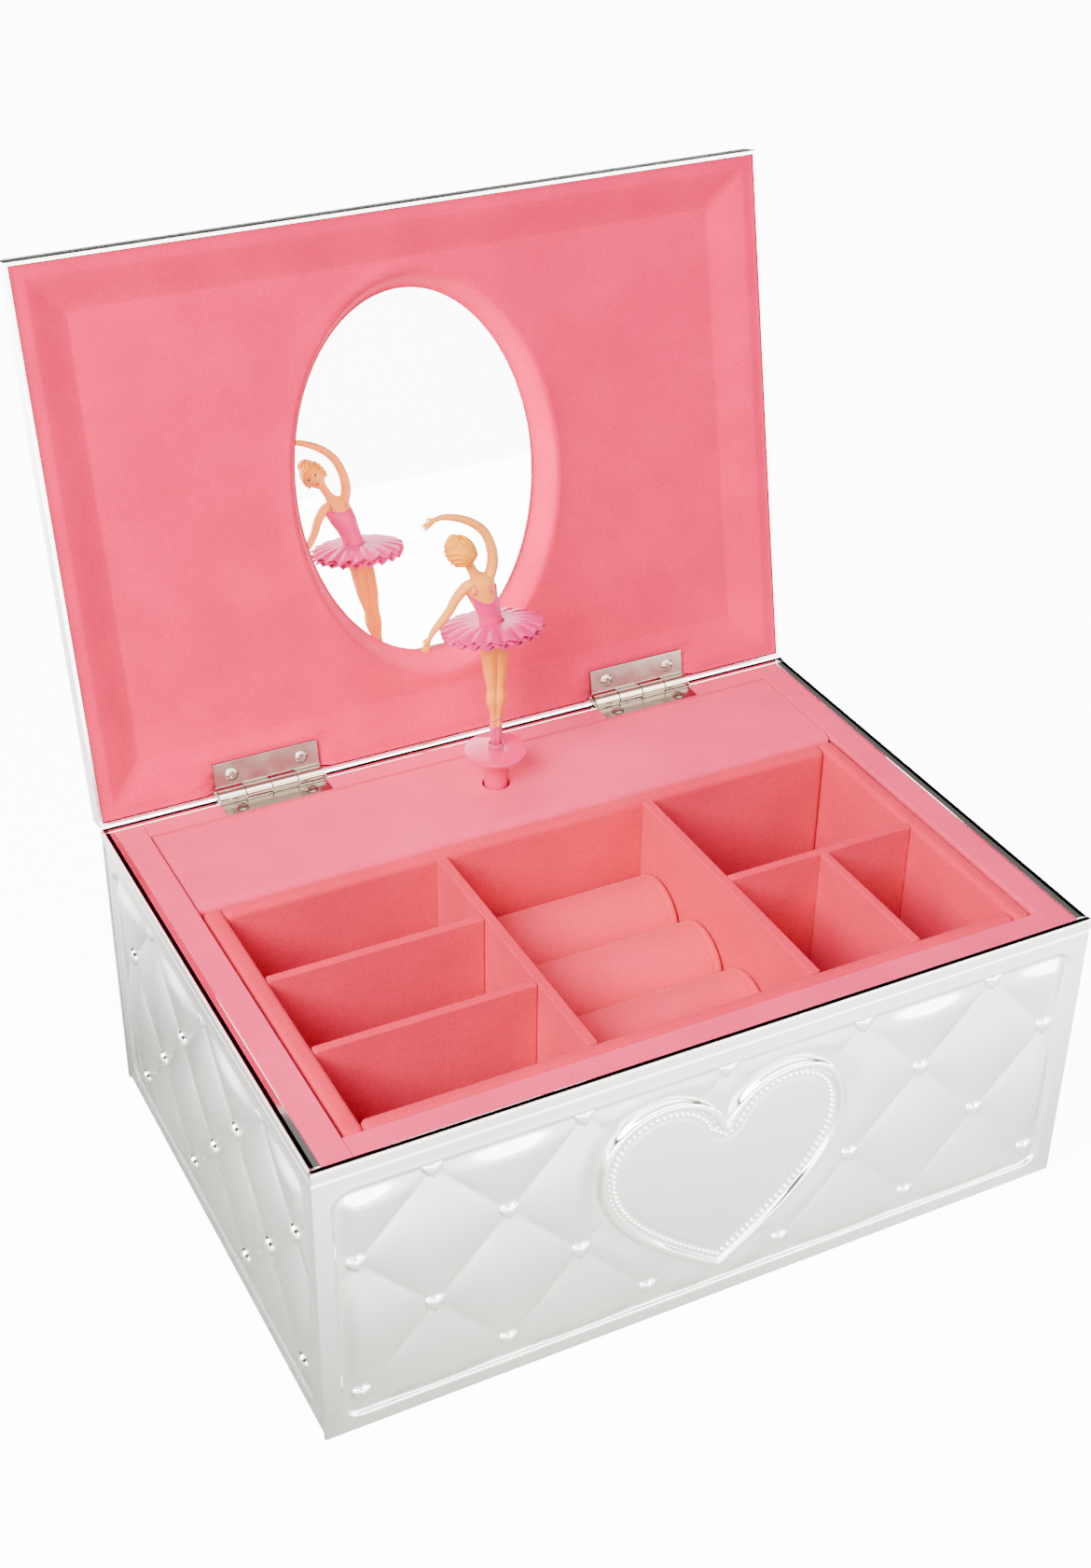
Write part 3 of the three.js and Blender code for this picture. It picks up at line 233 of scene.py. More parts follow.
def metal_material(name, colour, roughness, wander, ripple, grain):
    """Plated or bare metal: metallic, with roughness that wanders and a faint ripple from forming."""
    material, tree, shader = new_material(name)
    place = add_node(tree, "ShaderNodeTexCoord").outputs["Object"]
    cloud = add_node(tree, "ShaderNodeTexNoise", {"Scale": grain, "Detail": 4.0}, {"Vector": place})
    rough = add_node(
        tree, "ShaderNodeMapRange",
        {
            "From Min": 0.3, "From Max": 0.7,
            "To Min": max(0.0, roughness - wander), "To Max": roughness + wander,
        },
        {"Value": cloud.outputs["Fac"]},
    )
    tree.links.new(rough.outputs["Result"], shader.inputs["Roughness"])
    tint = two_tone(tree, place, grain * 0.4, (shade_of(colour, 0.96), shade_of(colour, 1.02)), (0.3, 0.7))
    tree.links.new(tint, shader.inputs["Base Color"])
    shader.inputs["Metallic"].default_value = 1.0
    if ripple:
        bump = add_node(
            tree, "ShaderNodeBump", {"Strength": ripple, "Distance": 0.0002}, {"Height": cloud.outputs["Fac"]}
        )
        tree.links.new(bump.outputs["Normal"], shader.inputs["Normal"])
    return material


def plastic_material(name, colour, roughness, soft=0.0, through=0.0, contrast=0.05, scale=120.0):
    """Moulded plastic: a slightly mottled colour under an even gloss; soft lets light into the surface."""
    material, tree, shader = new_material(name)
    place = add_node(tree, "ShaderNodeTexCoord").outputs["Object"]
    tone = two_tone(
        tree, place, scale, (shade_of(colour, 1 - contrast), shade_of(colour, 1 + contrast)), (0.3, 0.7)
    )
    tree.links.new(tone, shader.inputs["Base Color"])
    shader.inputs["Roughness"].default_value = roughness
    shader.inputs["IOR"].default_value = 1.5
    shader.inputs["Specular IOR Level"].default_value = 0.22
    shader.inputs["Transmission Weight"].default_value = through
    if soft:
        shader.inputs["Subsurface Weight"].default_value = soft
        shader.inputs["Subsurface Radius"].default_value = (1.0, 0.45, 0.35)
        shader.inputs["Subsurface Scale"].default_value = 0.0012
    return material


def board_material(name, colour):
    """Fibreboard: matte, with short felted fibres a millimetre or so long."""
    material, tree, shader = new_material(name)
    place = add_node(tree, "ShaderNodeTexCoord").outputs["Object"]
    stretch = add_node(tree, "ShaderNodeMapping", {"Scale": (1.0, 1.0, 3.0)}, {"Vector": place})
    tone = two_tone(
        tree, stretch.outputs["Vector"], 700.0, (shade_of(colour, 0.8), shade_of(colour, 1.1)), (0.3, 0.7)
    )
    tree.links.new(tone, shader.inputs["Base Color"])
    shader.inputs["Roughness"].default_value = 0.8
    return material


MATERIALS = {}


def make_materials():
    """Makes every finish once, under the short name that the pieces ask for."""
    scene = bpy.context.scene
    plating, lining, dancer = scene.box_plating, scene.box_lining, scene.box_dancer
    MATERIALS.update(
        plate=metal_material("Satin nickel plate", tuple(plating.colour), 0.2, 0.03, 0.03, 40.0),
        bright=metal_material("Bright nickel plate", tuple(plating.colour), 0.06, 0.02, 0.02, 60.0),
        rail=flock_material("Rail flocking", tuple(lining.rail)),
        tray=flock_material("Tray flocking", tuple(lining.tray)),
        # The tray floor's flock is the tray's own colour darkened to 0.22, painted shade for the floors of
        # the deep cells.
        tray_floor=flock_material("Tray floor flocking in painted shade", shade_of(tuple(lining.tray), 0.22)),
        liner=flock_material("Lid flocking", tuple(lining.lid), 0.07),
        roll=flock_material("Roll flocking", tuple(lining.roll), 0.04),
        # Hinge nickel: leaves and screws take a dark copy, painted shade like the back rail's shaded recess;
        # knuckles and pins take a lighter copy, a painted highlight.
        nickel=metal_material("Satin hinge nickel in painted shade", linear("#8E8379"), 0.24, 0.05, 0.02, 200.0),
        pin=metal_material("Bright hinge nickel with painted highlight", linear("#BDB3A2"), 0.14, 0.03, 0.0, 200.0),
        brass=metal_material("Lacquered brass", linear("#C9A45A"), 0.25, 0.05, 0.0, 200.0),
        steel=metal_material("Blued spring steel", linear("#8C9098"), 0.28, 0.06, 0.0, 260.0),
        cast=metal_material("Cast zinc", linear("#A8AAAC"), 0.42, 0.08, 0.2, 500.0),
        board=board_material("Fibreboard", linear("#B98E62")),
        glass=metal_material("Silvered mirror", linear("#F6F8F8"), 0.0, 0.0, 0.0, 10.0),
        skin=plastic_material("Painted doll skin", tuple(dancer.skin), 0.42, soft=0.15, contrast=0.02),
        dress=plastic_material("Glossy costume vinyl", tuple(dancer.dress), 0.38, soft=0.05),
        hair=plastic_material("Moulded hair", tuple(dancer.hair), 0.4, contrast=0.18, scale=900.0),
        pedestal=plastic_material("Clear pink styrene", tuple(dancer.pedestal), 0.12, soft=0.15, through=0.1),
        dark=plastic_material("Painted eye brown", linear("#3A2418"), 0.35),
        lips=plastic_material("Painted lip red", linear("#C8384A"), 0.3),
        white=plastic_material("Painted eye white", linear("#F6F2EC"), 0.3),
        ribbon=plastic_material("Shoe pink", linear("#D83874"), 0.3),
    )


# ------------------------------------------------------------------ meshes from arrays


def grid_faces(rows, columns, wrap=False, start=0):
    """Quads between neighbouring rows and columns of a grid; wrap joins the last column to the first."""
    r, c = np.meshgrid(np.arange(rows - 1), np.arange(columns - (0 if wrap else 1)), indexing="ij")
    n = (c + 1) % columns
    near, far = r * columns, (r + 1) * columns
    return start + np.stack([near + c, near + n, far + n, far + c], -1).reshape(-1, 4)


WELD = 1e-3


class Surface:
    """Collects grids of points and turns them into one mesh with its seams welded."""

    def __init__(self):
        self.points, self.faces, self.slots, self.count = [], [], [], 0

    def grid(self, points, wrap=False, slot=0):
        """points is rows x columns x 3; each cell becomes a quad."""
        rows, columns = points.shape[:2]
        quads = grid_faces(rows, columns, wrap, self.count)
        self._take(points.reshape(-1, 3), quads, slot)
        return self

    def fan(self, ring, centre=None, slot=0):
        """Closes a ring of points with triangles to its centre."""
        centre = ring.mean(0) if centre is None else np.asarray(centre, float)
        n = len(ring)
        k = np.arange(n)
        triangles = self.count + np.stack([k, (k + 1) % n, np.full(n, n)], -1)
        self._take(np.vstack([ring, centre]), triangles, slot)
        return self

    def _take(self, points, faces, slot):
        self.points.append(np.asarray(points, float))
        self.faces.extend(faces.tolist())
        self.slots.extend([slot] * len(faces))
        self.count += len(points)

    def build(self, name, materials, sharp=50):
        """Makes the object, in metres, from points in millimetres."""
        mesh = bpy.data.meshes.new(name)
        mesh.from_pydata((np.vstack(self.points) * MM).tolist(), [], self.faces)
        mesh.polygons.foreach_set("material_index", np.array(self.slots, np.int32))
        return finish_mesh(name, mesh, materials, sharp)


def finish_mesh(name, mesh, materials, sharp):
    """Welds seams, turns faces outwards and sets which edges stay sharp."""
    work = bmesh.new()
    work.from_mesh(mesh)
    bmesh.ops.remove_doubles(work, verts=work.verts, dist=WELD * MM)
    bmesh.ops.dissolve_degenerate(work, edges=work.edges, dist=1e-8)
    bmesh.ops.recalc_face_normals(work, faces=work.faces)
    work.to_mesh(mesh)
    work.free()
    mesh.polygons.foreach_set("use_smooth", np.ones(len(mesh.polygons), bool))
    mesh.set_sharp_from_angle(angle=np.radians(sharp))
    piece = bpy.data.objects.new(name, mesh)
    bpy.context.scene.collection.objects.link(piece)
    for material in materials:
        mesh.materials.append(MATERIALS[material])
    return piece


def place(piece, body, slot, *replaced):
    """Rides a piece on its body and hides the solids that it stands for."""
    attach(piece, body)
    if replaced:
        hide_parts(*replaced)
    return piece


def opened(points):
    """Turns points of the closed lid to where the open lid holds them."""
    y, z = points[..., 1] - LID_AXIS[1], points[..., 2] - LID_AXIS[2]
    cos, sin = np.cos(-LID_OPEN), np.sin(-LID_OPEN)
    return np.stack([points[..., 0], LID_AXIS[1] + y * cos - z * sin, LID_AXIS[2] + y * sin + z * cos], -1)


def smoothstep(t):
    """0 below 0, 1 above 1, and an S curve between."""
    t = np.clip(t, 0, 1)
    return t * t * (3 - 2 * t)


def rounded_section(half_a, half_b, radius, arc=5):
    """Points round a rectangle with rounded corners; a support point beside each arc keeps flats flat."""
    radius = min(radius, half_a * 0.98, half_b * 0.98)
    turn = np.linspace(0, np.pi / 2, arc + 1)
    parts = []
    for quarter in range(4):
        angle = turn + quarter * np.pi / 2
        sign_a, sign_b = [(1, 1), (-1, 1), (-1, -1), (1, -1)][quarter]
        a = sign_a * (half_a - radius) + radius * np.cos(angle)
        b = sign_b * (half_b - radius) + radius * np.sin(angle)
        parts.append(np.stack([a, b], -1))
    ring = np.vstack(parts)
    following = np.roll(ring, -1, axis=0)
    span = np.linalg.norm(following - ring, axis=1)
    supported = []
    for point, after, reach in zip(ring, following, span):
        supported.append(point)
        if reach > 2.5 * max(radius, 0.4):
            inset = 0.35 * radius / reach
            supported.append(point + (after - point) * inset)
            supported.append(after - (after - point) * inset)
    return np.array(supported)


def soft_bar(low, high, radius, axis, arc=5, surface=None, shift=None):
    """A bar along one axis with every edge rounded.

    Its section is a rounded rectangle that shrinks at both ends along a quarter circle.
    """
    surface = surface or Surface()
    low, high = np.asarray(low, float), np.asarray(high, float)
    others = [i for i in range(3) if i != axis]
    middle, half = (low + high) / 2, (high - low) / 2
    radius = min(radius, *(half * 0.98))
    turn = np.linspace(0, np.pi / 2, arc + 1)
    reach, inset = radius * (1 - np.sin(turn)), radius * (1 - np.cos(turn))
    support = 1.3 * radius
    along = np.concatenate([
        low[axis] + reach[::-1], [low[axis] + support, high[axis] - support], high[axis] - reach,
    ])
    shrink = np.concatenate([inset[::-1], [0, 0], inset])
    ring = rounded_section(*half[others], radius, arc)
    scale = (half[others] - shrink[:, None]) / half[others]
    rows = np.zeros((len(along), len(ring), 3))
    rows[..., axis] = along[:, None]
    for column, other in enumerate(others):
        rows[..., other] = middle[other] + ring[:, column] * scale[:, column, None]
    if shift is not None:
        rows = shift(rows)
    surface.grid(rows, wrap=True)
    surface.fan(rows[0]).fan(rows[-1])
    return surface


def tube(path, radius, sides=12, surface=None, slot=0):
    """A round tube along a path; radius may be one number, one per point, or a pair of them per point."""
    surface = surface or Surface()
    path = np.asarray(path, float)
    radius = np.asarray(radius, float)
    if radius.ndim < 2:
        radius = np.broadcast_to(radius, (len(path),))
    tangent = np.gradient(path, axis=0)
    tangent /= np.linalg.norm(tangent, axis=1, keepdims=True)
    side = np.cross(tangent, [0.0, 1.0, 0.0])
    weak = np.linalg.norm(side, axis=1) < 1e-3
    side[weak] = [1.0, 0.0, 0.0]
    side /= np.linalg.norm(side, axis=1, keepdims=True)
    other = np.cross(side, tangent)
    turn = np.linspace(0, 2 * np.pi, sides, endpoint=False)
    r_side, r_other = (radius[:, 0], radius[:, 1]) if radius.ndim == 2 else (radius, radius)
    rows = (
        path[:, None]
        + side[:, None] * (r_side[:, None] * np.cos(turn))[..., None]
        + other[:, None] * (r_other[:, None] * np.sin(turn))[..., None]
    )
    surface.grid(rows, wrap=True, slot=slot)
    return surface.fan(rows[0], path[0], slot).fan(rows[-1], path[-1], slot)


def smooth_path(points, count):
    """A Catmull-Rom curve through points, of any number of columns, sampled evenly in its parameter."""
    points = np.asarray(points, float)
    padded = np.vstack([2 * points[0] - points[1], points, 2 * points[-1] - points[-2]])
    t = np.linspace(0, len(points) - 1, count)
    i = np.minimum(t.astype(int), len(points) - 2)
    f = (t - i)[:, None]
    a, b, c, d = padded[i], padded[i + 1], padded[i + 2], padded[i + 3]
    return 0.5 * (2 * b + (c - a) * f + (2 * a - 5 * b + 4 * c - d) * f**2 + (3 * b - a - 3 * c + d) * f**3)


def globe(rows, columns, low=-np.pi / 2):
    """Latitudes from low to the north pole and longitudes all round, as two grids."""
    lat = np.linspace(low, np.pi / 2, rows)
    lon = np.linspace(0, 2 * np.pi, columns, endpoint=False)
    return np.meshgrid(lat, lon, indexing="ij")


def on_sphere(la, lo):
    """Points of a sphere of radius 1 at those latitudes and longitudes, as x, y and z grids."""
    return np.cos(la) * np.cos(lo), np.cos(la) * np.sin(lo), np.sin(la)


def ball(centre, radii, rows, columns, surface, tilt, slot=0):
    """An ellipsoid by latitude and longitude, turned by a matrix."""
    points = np.stack(on_sphere(*globe(rows, columns)), -1) * np.asarray(radii)
    points = points @ tilt.T
    return surface.grid(points + np.asarray(centre, float), wrap=True, slot=slot)


# ------------------------------------------------------------------ plated panels

# A panel's plain borders, its rim band, how deep border and field lie, and how thick the sheet is.
SIDE_BORDER, LOW_BORDER, TOP_BORDER = 4.4, 4.6, 8.3
FIELD_LOW, FIELD_HIGH = LOW_BORDER, RIM_HEIGHT - TOP_BORDER
BAND_LOW = RIM_HEIGHT - 3.3
BORDER_DROP, FIELD_DROP = 0.25, 1.25
SHEET = 1.55
LATTICE_X, LATTICE_Z = 0.4, 10.9
HEART_CENTRE = np.array([0.8, 43.0])
HEART_HEIGHT = 61
SIDE_LENGTH = BOX_DEPTH - 3.4
HINGE_LEAVES = ("hinge_left_box_leaf", "hinge_right_box_leaf")


def heart_outline(width, height, count=400):
    """Points round a heart: three cubic Bezier curves a side, from the tip round the lobe to the notch."""
    w = width / 2
    controls = [
        [(0, -0.56), (0.3 * w, -0.44), (w, -0.18), (w, 0.12)],
        [(w, 0.33), (0.76 * w, 0.435), (0.5 * w, 0.435)],
        [(0.26 * w, 0.435), (0.07 * w, 0.35), (0, 0.24)],
    ]
    points, last = [], None
    t = np.linspace(0, 1, count // 6, endpoint=False)[:, None]
    for curve in controls:
        curve = ([last] if last is not None else []) + curve
        p = np.array([(x, y * height) for x, y in curve], float)
        points.append(
            (1 - t) ** 3 * p[0] + 3 * (1 - t) ** 2 * t * p[1] + 3 * (1 - t) * t**2 * p[2] + t**3 * p[3]
        )
        last = curve[-1]
    half = np.vstack([*points, [[0, 0.24 * height]]])
    other = half[1:-1][::-1] * [-1, 1]
    return np.vstack([half, other])


def distance_to(points, outline):
    """Shortest distance from each point to a closed outline, positive inside it."""
    flat = points.reshape(-1, 2)
    a, b = outline, np.roll(outline, -1, axis=0)
    edge = b - a
    length2 = (edge**2).sum(1) + 1e-12
    best = np.full(len(flat), 1e9)
    inside = np.zeros(len(flat), bool)
    for start, along, l2, end in zip(a, edge, length2, b):
        rel = flat - start
        t = np.clip((rel @ along) / l2, 0, 1)
        best = np.minimum(best, np.hypot(*(rel - t[:, None] * along).T))
        crosses = (start[1] > flat[:, 1]) != (end[1] > flat[:, 1])
        if along[1] != 0:
            x = start[0] + (flat[:, 1] - start[1]) * along[0] / along[1]
            inside ^= crosses & (flat[:, 0] < x)
    return (best * np.where(inside, 1, -1)).reshape(points.shape[:-1])


def rounded_field(x, z, half, low, high, radius):
    """Distance inside a rounded rectangle, negative outside."""
    middle = (low + high) / 2
    dx = np.abs(x) - (half - radius)
    dz = np.abs(z - middle) - ((high - low) / 2 - radius)
    outside = np.hypot(np.maximum(dx, 0), np.maximum(dz, 0)) + np.minimum(np.maximum(dx, dz), 0)
    return radius - outside


def puffs(x, z, pitch, row, x0, z0):
    """Quilting: 0 on the diagonal creases through the hearts and 1 in the middle of each diamond."""
    u, v = (x - x0) / pitch, (z - z0) / (2 * row)
    diamond = np.abs(np.sin(np.pi * (u + v + 0.5)) * np.sin(np.pi * (u - v + 0.5)))
    return diamond**0.62


def heart_places(length, pitch, row):
    """Centres of a panel's small hearts, as (along, up): rows that step half a pitch aside in turn."""
    places = []
    for level in range(8):
        z = LATTICE_Z + level * row
        start = LATTICE_X + (pitch / 2 if level % 2 == 0 else 0)
        for step in range(-8, 9):
            x = start + step * pitch
            if abs(x) < length / 2 - SIDE_BORDER - 4.2 and FIELD_LOW + 3 < z < FIELD_HIGH - 1.0:
                places.append((x, z))
    return np.array(places)


def ridge(distance, width):
    """A bell curve, 1 where the distance is 0."""
    return np.exp(-((distance / width) ** 2))


def panel_relief(x, z, length, settings, big_heart=None):
    """How far the panel's face stands out from its rim, in millimetres.

    Border and quilted field lie at their own depths with a low bead between them, and a groove runs
    under the rim band and inside each end.
    """
    inside = rounded_field(x, z, length / 2 - SIDE_BORDER, FIELD_LOW, FIELD_HIGH, 5)
    puff = puffs(x, z, settings.pitch / MM, settings.row / MM, LATTICE_X, LATTICE_Z)
    edge_fade = smoothstep(inside / 6)
    quilt = -FIELD_DROP + settings.puff / MM * puff * edge_fade
    if big_heart is not None:
        quilt = -FIELD_DROP + (quilt + FIELD_DROP) * smoothstep(-big_heart / 7)
    blend = smoothstep(inside / 0.9)
    bead = 0.16 * ridge(inside + 0.55, 0.4)
    relief = (-BORDER_DROP + bead) * (1 - blend) + quilt * blend
    band = smoothstep((z - BAND_LOW) / 0.5)
    relief = relief * (1 - band)
    relief -= 0.55 * ridge(z - BAND_LOW + 0.2, 0.22)
    relief -= 0.2 * ridge(np.abs(x) - (length / 2 - 1.6), 0.2) * (z < BAND_LOW)
    round_low = smoothstep((0.9 - z) / 0.9)
    round_top = smoothstep((z - RIM_HEIGHT + 0.45) / 0.45)
    return relief - 0.35 * round_low - 0.3 * round_top


SHEET_EDGES = (np.s_[0], np.s_[-1], np.s_[:, 0], np.s_[:, -1])


def panel_surface(length, step, settings, big_heart_outline=None):
    """A pressed sheet: an even grid, with extra rows at the rim groove, backed by a plane."""
    x = np.linspace(-length / 2, length / 2, int(length / step))
    z = np.unique(np.concatenate([
        np.linspace(0, RIM_HEIGHT, int(RIM_HEIGHT / step)),
        np.linspace(BAND_LOW - 0.9, BAND_LOW + 0.7, 12),
        RIM_HEIGHT - np.linspace(0, 0.5, 5),
        np.linspace(0, 0.9, 5),
    ]))
    zz, xx = np.meshgrid(z, x, indexing="ij")
    inside_heart = None
    if big_heart_outline is not None:
        inside_heart = distance_to(np.stack([xx, zz], -1), big_heart_outline)
    face = np.stack([xx, -panel_relief(xx, zz, length, settings, inside_heart), zz], -1)
    back = np.stack([xx, np.full_like(xx, SHEET), zz], -1)
    surface = Surface()
    surface.grid(face).grid(back)
    for edge in SHEET_EDGES:
        surface.grid(np.stack([face[edge], back[edge]]))
    return surface


def turned(points, side):
    """Stands a panel drawn as the front one at the "front", "back", "left" or "right"."""
    along, out, up = points[..., 0], points[..., 1], points[..., 2]
    if side == "front":
        return np.stack([along, -BOX_DEPTH / 2 + out, up], -1)
    if side == "back":
        return np.stack([-along, BOX_DEPTH / 2 - out, up], -1)
    if side == "right":
        return np.stack([BOX_WIDTH / 2 - out, along, up], -1)
    return np.stack([-BOX_WIDTH / 2 + out, -along, up], -1)


def small_heart(centre, width, height, rows=6, columns=28):
    """A domed heart: its outline shrinks to the middle while its height rises as a quarter ellipse."""
    outline = heart_outline(width, width * 0.95, 60)
    outline = outline[np.linspace(0, len(outline) - 1, columns, endpoint=False).astype(int)]
    shrink = np.cos(np.linspace(0, np.pi / 2 * 0.94, rows))
    rise = height * np.sin(np.linspace(0, np.pi / 2, rows))
    middle = np.array([0, 0.05 * width])
    ring = middle + (outline - middle) * shrink[:, None, None]
    points = np.zeros((rows, columns, 3))
    points[..., 0] = centre[0] + ring[..., 0]
    points[..., 2] = centre[1] + ring[..., 1]
    points[..., 1] = -(rise[:, None] - FIELD_DROP - 0.1)
    return points


class BOX_OT_panels(bpy.types.Operator):
    """Makes the four quilted panels, their small hearts and rims"""

    bl_idname = "jewel_box.panels"
    bl_label = "Plated panels"

    def execute(self, context):
        settings = context.scene.box_plating
        pitch, row = settings.pitch / MM, settings.row / MM
        outline = heart_outline(settings.large_heart / MM, HEART_HEIGHT) + HEART_CENTRE
        for side, node, length, step in (
            ("front", "front_panel", BOX_WIDTH, 0.62), ("back", "back_panel", BOX_WIDTH, 0.75),
            ("left", "left_panel", SIDE_LENGTH, 0.62), ("right", "right_panel", SIDE_LENGTH, 0.62),
        ):
            surface = panel_surface(length, step, settings, outline if side == "front" else None)
            surface.points = [turned(p, side) for p in surface.points]
            panel = surface.build(f"plated_{side}", ["plate"], sharp=60)
            if side == "back":
                cut_openings(panel)
            place(panel, "root", "silver_plate", node)
            hearts = Surface()
            places = heart_places(length, pitch, row)
            if side == "front":
                places = places[distance_to(places, outline) < -3.0]
            for centre in places:
                points = turned(small_heart(centre, settings.small_heart / MM, 1.25), side)
                hearts.grid(points, wrap=True).fan(points[-1]).fan(points[0])
            place(hearts.build(f"small_hearts_{side}", ["bright"], sharp=75), "root", "silver_plate")
        self.rim()
        return {"FINISHED"}

    def rim(self):
        """The folded top of each panel: a bright strip along the front, each side and between the hinges."""
        low, high, rounding = RIM_HEIGHT - 1.05, RIM_HEIGHT, 0.28
        half_x, half_y = BOX_WIDTH / 2, BOX_DEPTH / 2
        front, back = -half_y + 1.95, half_y - 2.75
        strips = {
            "front": ((-half_x, -half_y + 0.3, low), (half_x, -half_y + 1.8, high), 0),
            "left": ((-half_x + 0.3, front, low), (-half_x + 3.2, back, high), 1),
            "right": ((half_x - 3.2, front, low), (half_x - 0.3, back, high), 1),
        }
        for side, (start, end, axis) in strips.items():
            strip = soft_bar(start, end, rounding, axis).build(f"rim_{side}", ["bright"])
            place(strip, "root", "silver_plate")
        behind = Surface()
        for start, end in hinge_gaps():
            soft_bar((start, half_y - 2.6, low), (end, half_y - 0.3, high), rounding, 0, surface=behind)
        place(behind.build("rim_back", ["bright"]), "root", "silver_plate")


NOTCH_ROOM = 0.4


def hinge_gaps():
    """The lengths of back rim left between the hinges."""
    stops = [-BOX_WIDTH / 2]
    for name in HINGE_LEAVES:
        low, high = node_box(name)
        stops += [low[0] - NOTCH_ROOM, high[0] + NOTCH_ROOM]
    stops.append(BOX_WIDTH / 2)
    return list(zip(stops[::2], stops[1::2]))


def cut_openings(panel):
    """Cuts the hinge notches and the key hole out of the back panel with plain blocks and a round bar."""
    outside = BOX_DEPTH / 2 + 3
    for name in HINGE_LEAVES:
        low, high = node_box(name)
        start = (low[0] - NOTCH_ROOM, BOX_DEPTH / 2 - 2.7, low[2] - 0.1)
        end = (high[0] + NOTCH_ROOM, outside, RIM_HEIGHT + 2)
        cut_away(panel, soft_bar(start, end, 0.05, 0, arc=1))
    arbor_low, arbor_high = node_box("winding_arbor")
    middle = (arbor_low + arbor_high) / 2
    path = np.array([[middle[0], y, middle[2]] for y in np.linspace(BOX_DEPTH / 2 - 6, BOX_DEPTH / 2 + 6, 4)])
    cut_away(panel, tube(path, 3.5, 32))


def cut_away(piece, surface):
    """Takes the space inside a closed surface out of a piece."""
    tool = surface.build("cutter", [])
    cut = piece.modifiers.new("Opening", "BOOLEAN")
    cut.operation = "DIFFERENCE"
    cut.object = tool
    cut.solver = "EXACT"
    apply_modifiers(piece)
    bpy.data.objects.remove(tool)


def apply_modifiers(piece):
    """Makes a piece's modifiers part of its mesh."""
    graph = bpy.context.evaluated_depsgraph_get()
    mesh = bpy.data.meshes.new_from_object(piece.evaluated_get(graph))
    piece.modifiers.clear()
    piece.data = mesh


class BOX_OT_large_heart(bpy.types.Operator):
    """Makes the large heart on the front: a rounded raised edge, a ring of beads and a flat middle"""

    bl_idname = "jewel_box.large_heart"
    bl_label = "Large heart"

    def execute(self, context):
        settings = context.scene.box_plating
        outline = heart_outline(settings.large_heart / MM, HEART_HEIGHT, 480)
        spread = 1 - np.linspace(0, 1, 60) ** 1.6
        ring = outline * spread[:, None, None]
        depth = distance_to(ring, outline)
        half_edge = 1.55
        edge = np.sqrt(np.clip(1 - ((depth - half_edge) / half_edge) ** 2, 0, 1))
        height = np.where(depth < 2 * half_edge, -FIELD_DROP + 1.75 * edge, 0)
        channel = smoothstep((depth - 2.4) / 0.7)
        height = height * (1 - channel) + (-FIELD_DROP + 0.55) * channel
        lift = smoothstep((depth - 5.3) / 0.8)
        height = height * (1 - lift) + (-FIELD_DROP + 0.75) * lift
        points = np.stack([ring[..., 0] + HEART_CENTRE[0], -height, ring[..., 1] + HEART_CENTRE[1]], -1)
        base = points[0].copy()
        base[:, 1] = FIELD_DROP + 0.25
        plaque = Surface().grid(turned(points, "front"), wrap=True)
        plaque.grid(turned(np.stack([base, points[0]]), "front"), wrap=True)
        plaque.fan(turned(base, "front"))
        place(plaque.build("large_heart", ["bright"], sharp=70), "root", "silver_plate")

        beads = Surface()
        radius = settings.bead / MM
        lat, lon = globe(4, 10, low=0)
        for x, z in self.bead_places(outline, 4.2, 2.35 * radius):
            dome = np.stack([
                HEART_CENTRE[0] + x + radius * np.cos(lat) * np.cos(lon),
                -(-FIELD_DROP + 0.5 + radius * 1.05 * np.sin(lat)),
                HEART_CENTRE[1] + z + radius * np.cos(lat) * np.sin(lon),
            ], -1)
            dome = turned(dome, "front")
            beads.grid(dome, wrap=True).fan(dome[0])
        place(beads.build("heart_beads", ["bright"], sharp=75), "root", "silver_plate")
        return {"FINISHED"}

    @staticmethod
    def bead_places(outline, inset, pitch):
        """Points a pitch apart on the line that runs an inset inside the outline."""
        ahead = np.roll(outline, -1, axis=0) - np.roll(outline, 1, axis=0)
        ahead /= np.linalg.norm(ahead, axis=1, keepdims=True)
        line = outline + inset * np.stack([-ahead[:, 1], ahead[:, 0]], -1)
        line = line[distance_to(line, outline) > inset - 0.12]
        line = np.vstack([line, line[:1]])
        gone = np.concatenate([[0], np.cumsum(np.hypot(*np.diff(line, axis=0).T))])
        count = int(gone[-1] / pitch)
        at = np.linspace(0, gone[-1], count, endpoint=False)
        return np.stack([np.interp(at, gone, line[:, 0]), np.interp(at, gone, line[:, 1])], -1)


# ------------------------------------------------------------------ linings and tray


class BOX_OT_linings(bpy.types.Operator):
    """Makes the flocked inner walls, the cover over the works and the hidden boards"""

    bl_idname = "jewel_box.linings"
    bl_label = "Linings and cover"

    def execute(self, context):
        for name in ("inner_wall_left", "inner_wall_right", "inner_wall_front", "works_cover"):
            place(rounded_copy(name, "lining_" + name, "rail", 0.35), "root", "flocking", name)
        paint(frame["nodes"]["inner_wall_back"], "rail")
        for name in ("base_board", "works_partition", "tray_support_left", "tray_support_right"):
            place(rounded_copy(name, "board_" + name, "board", 0.25), "root", "board", name)
        return {"FINISHED"}


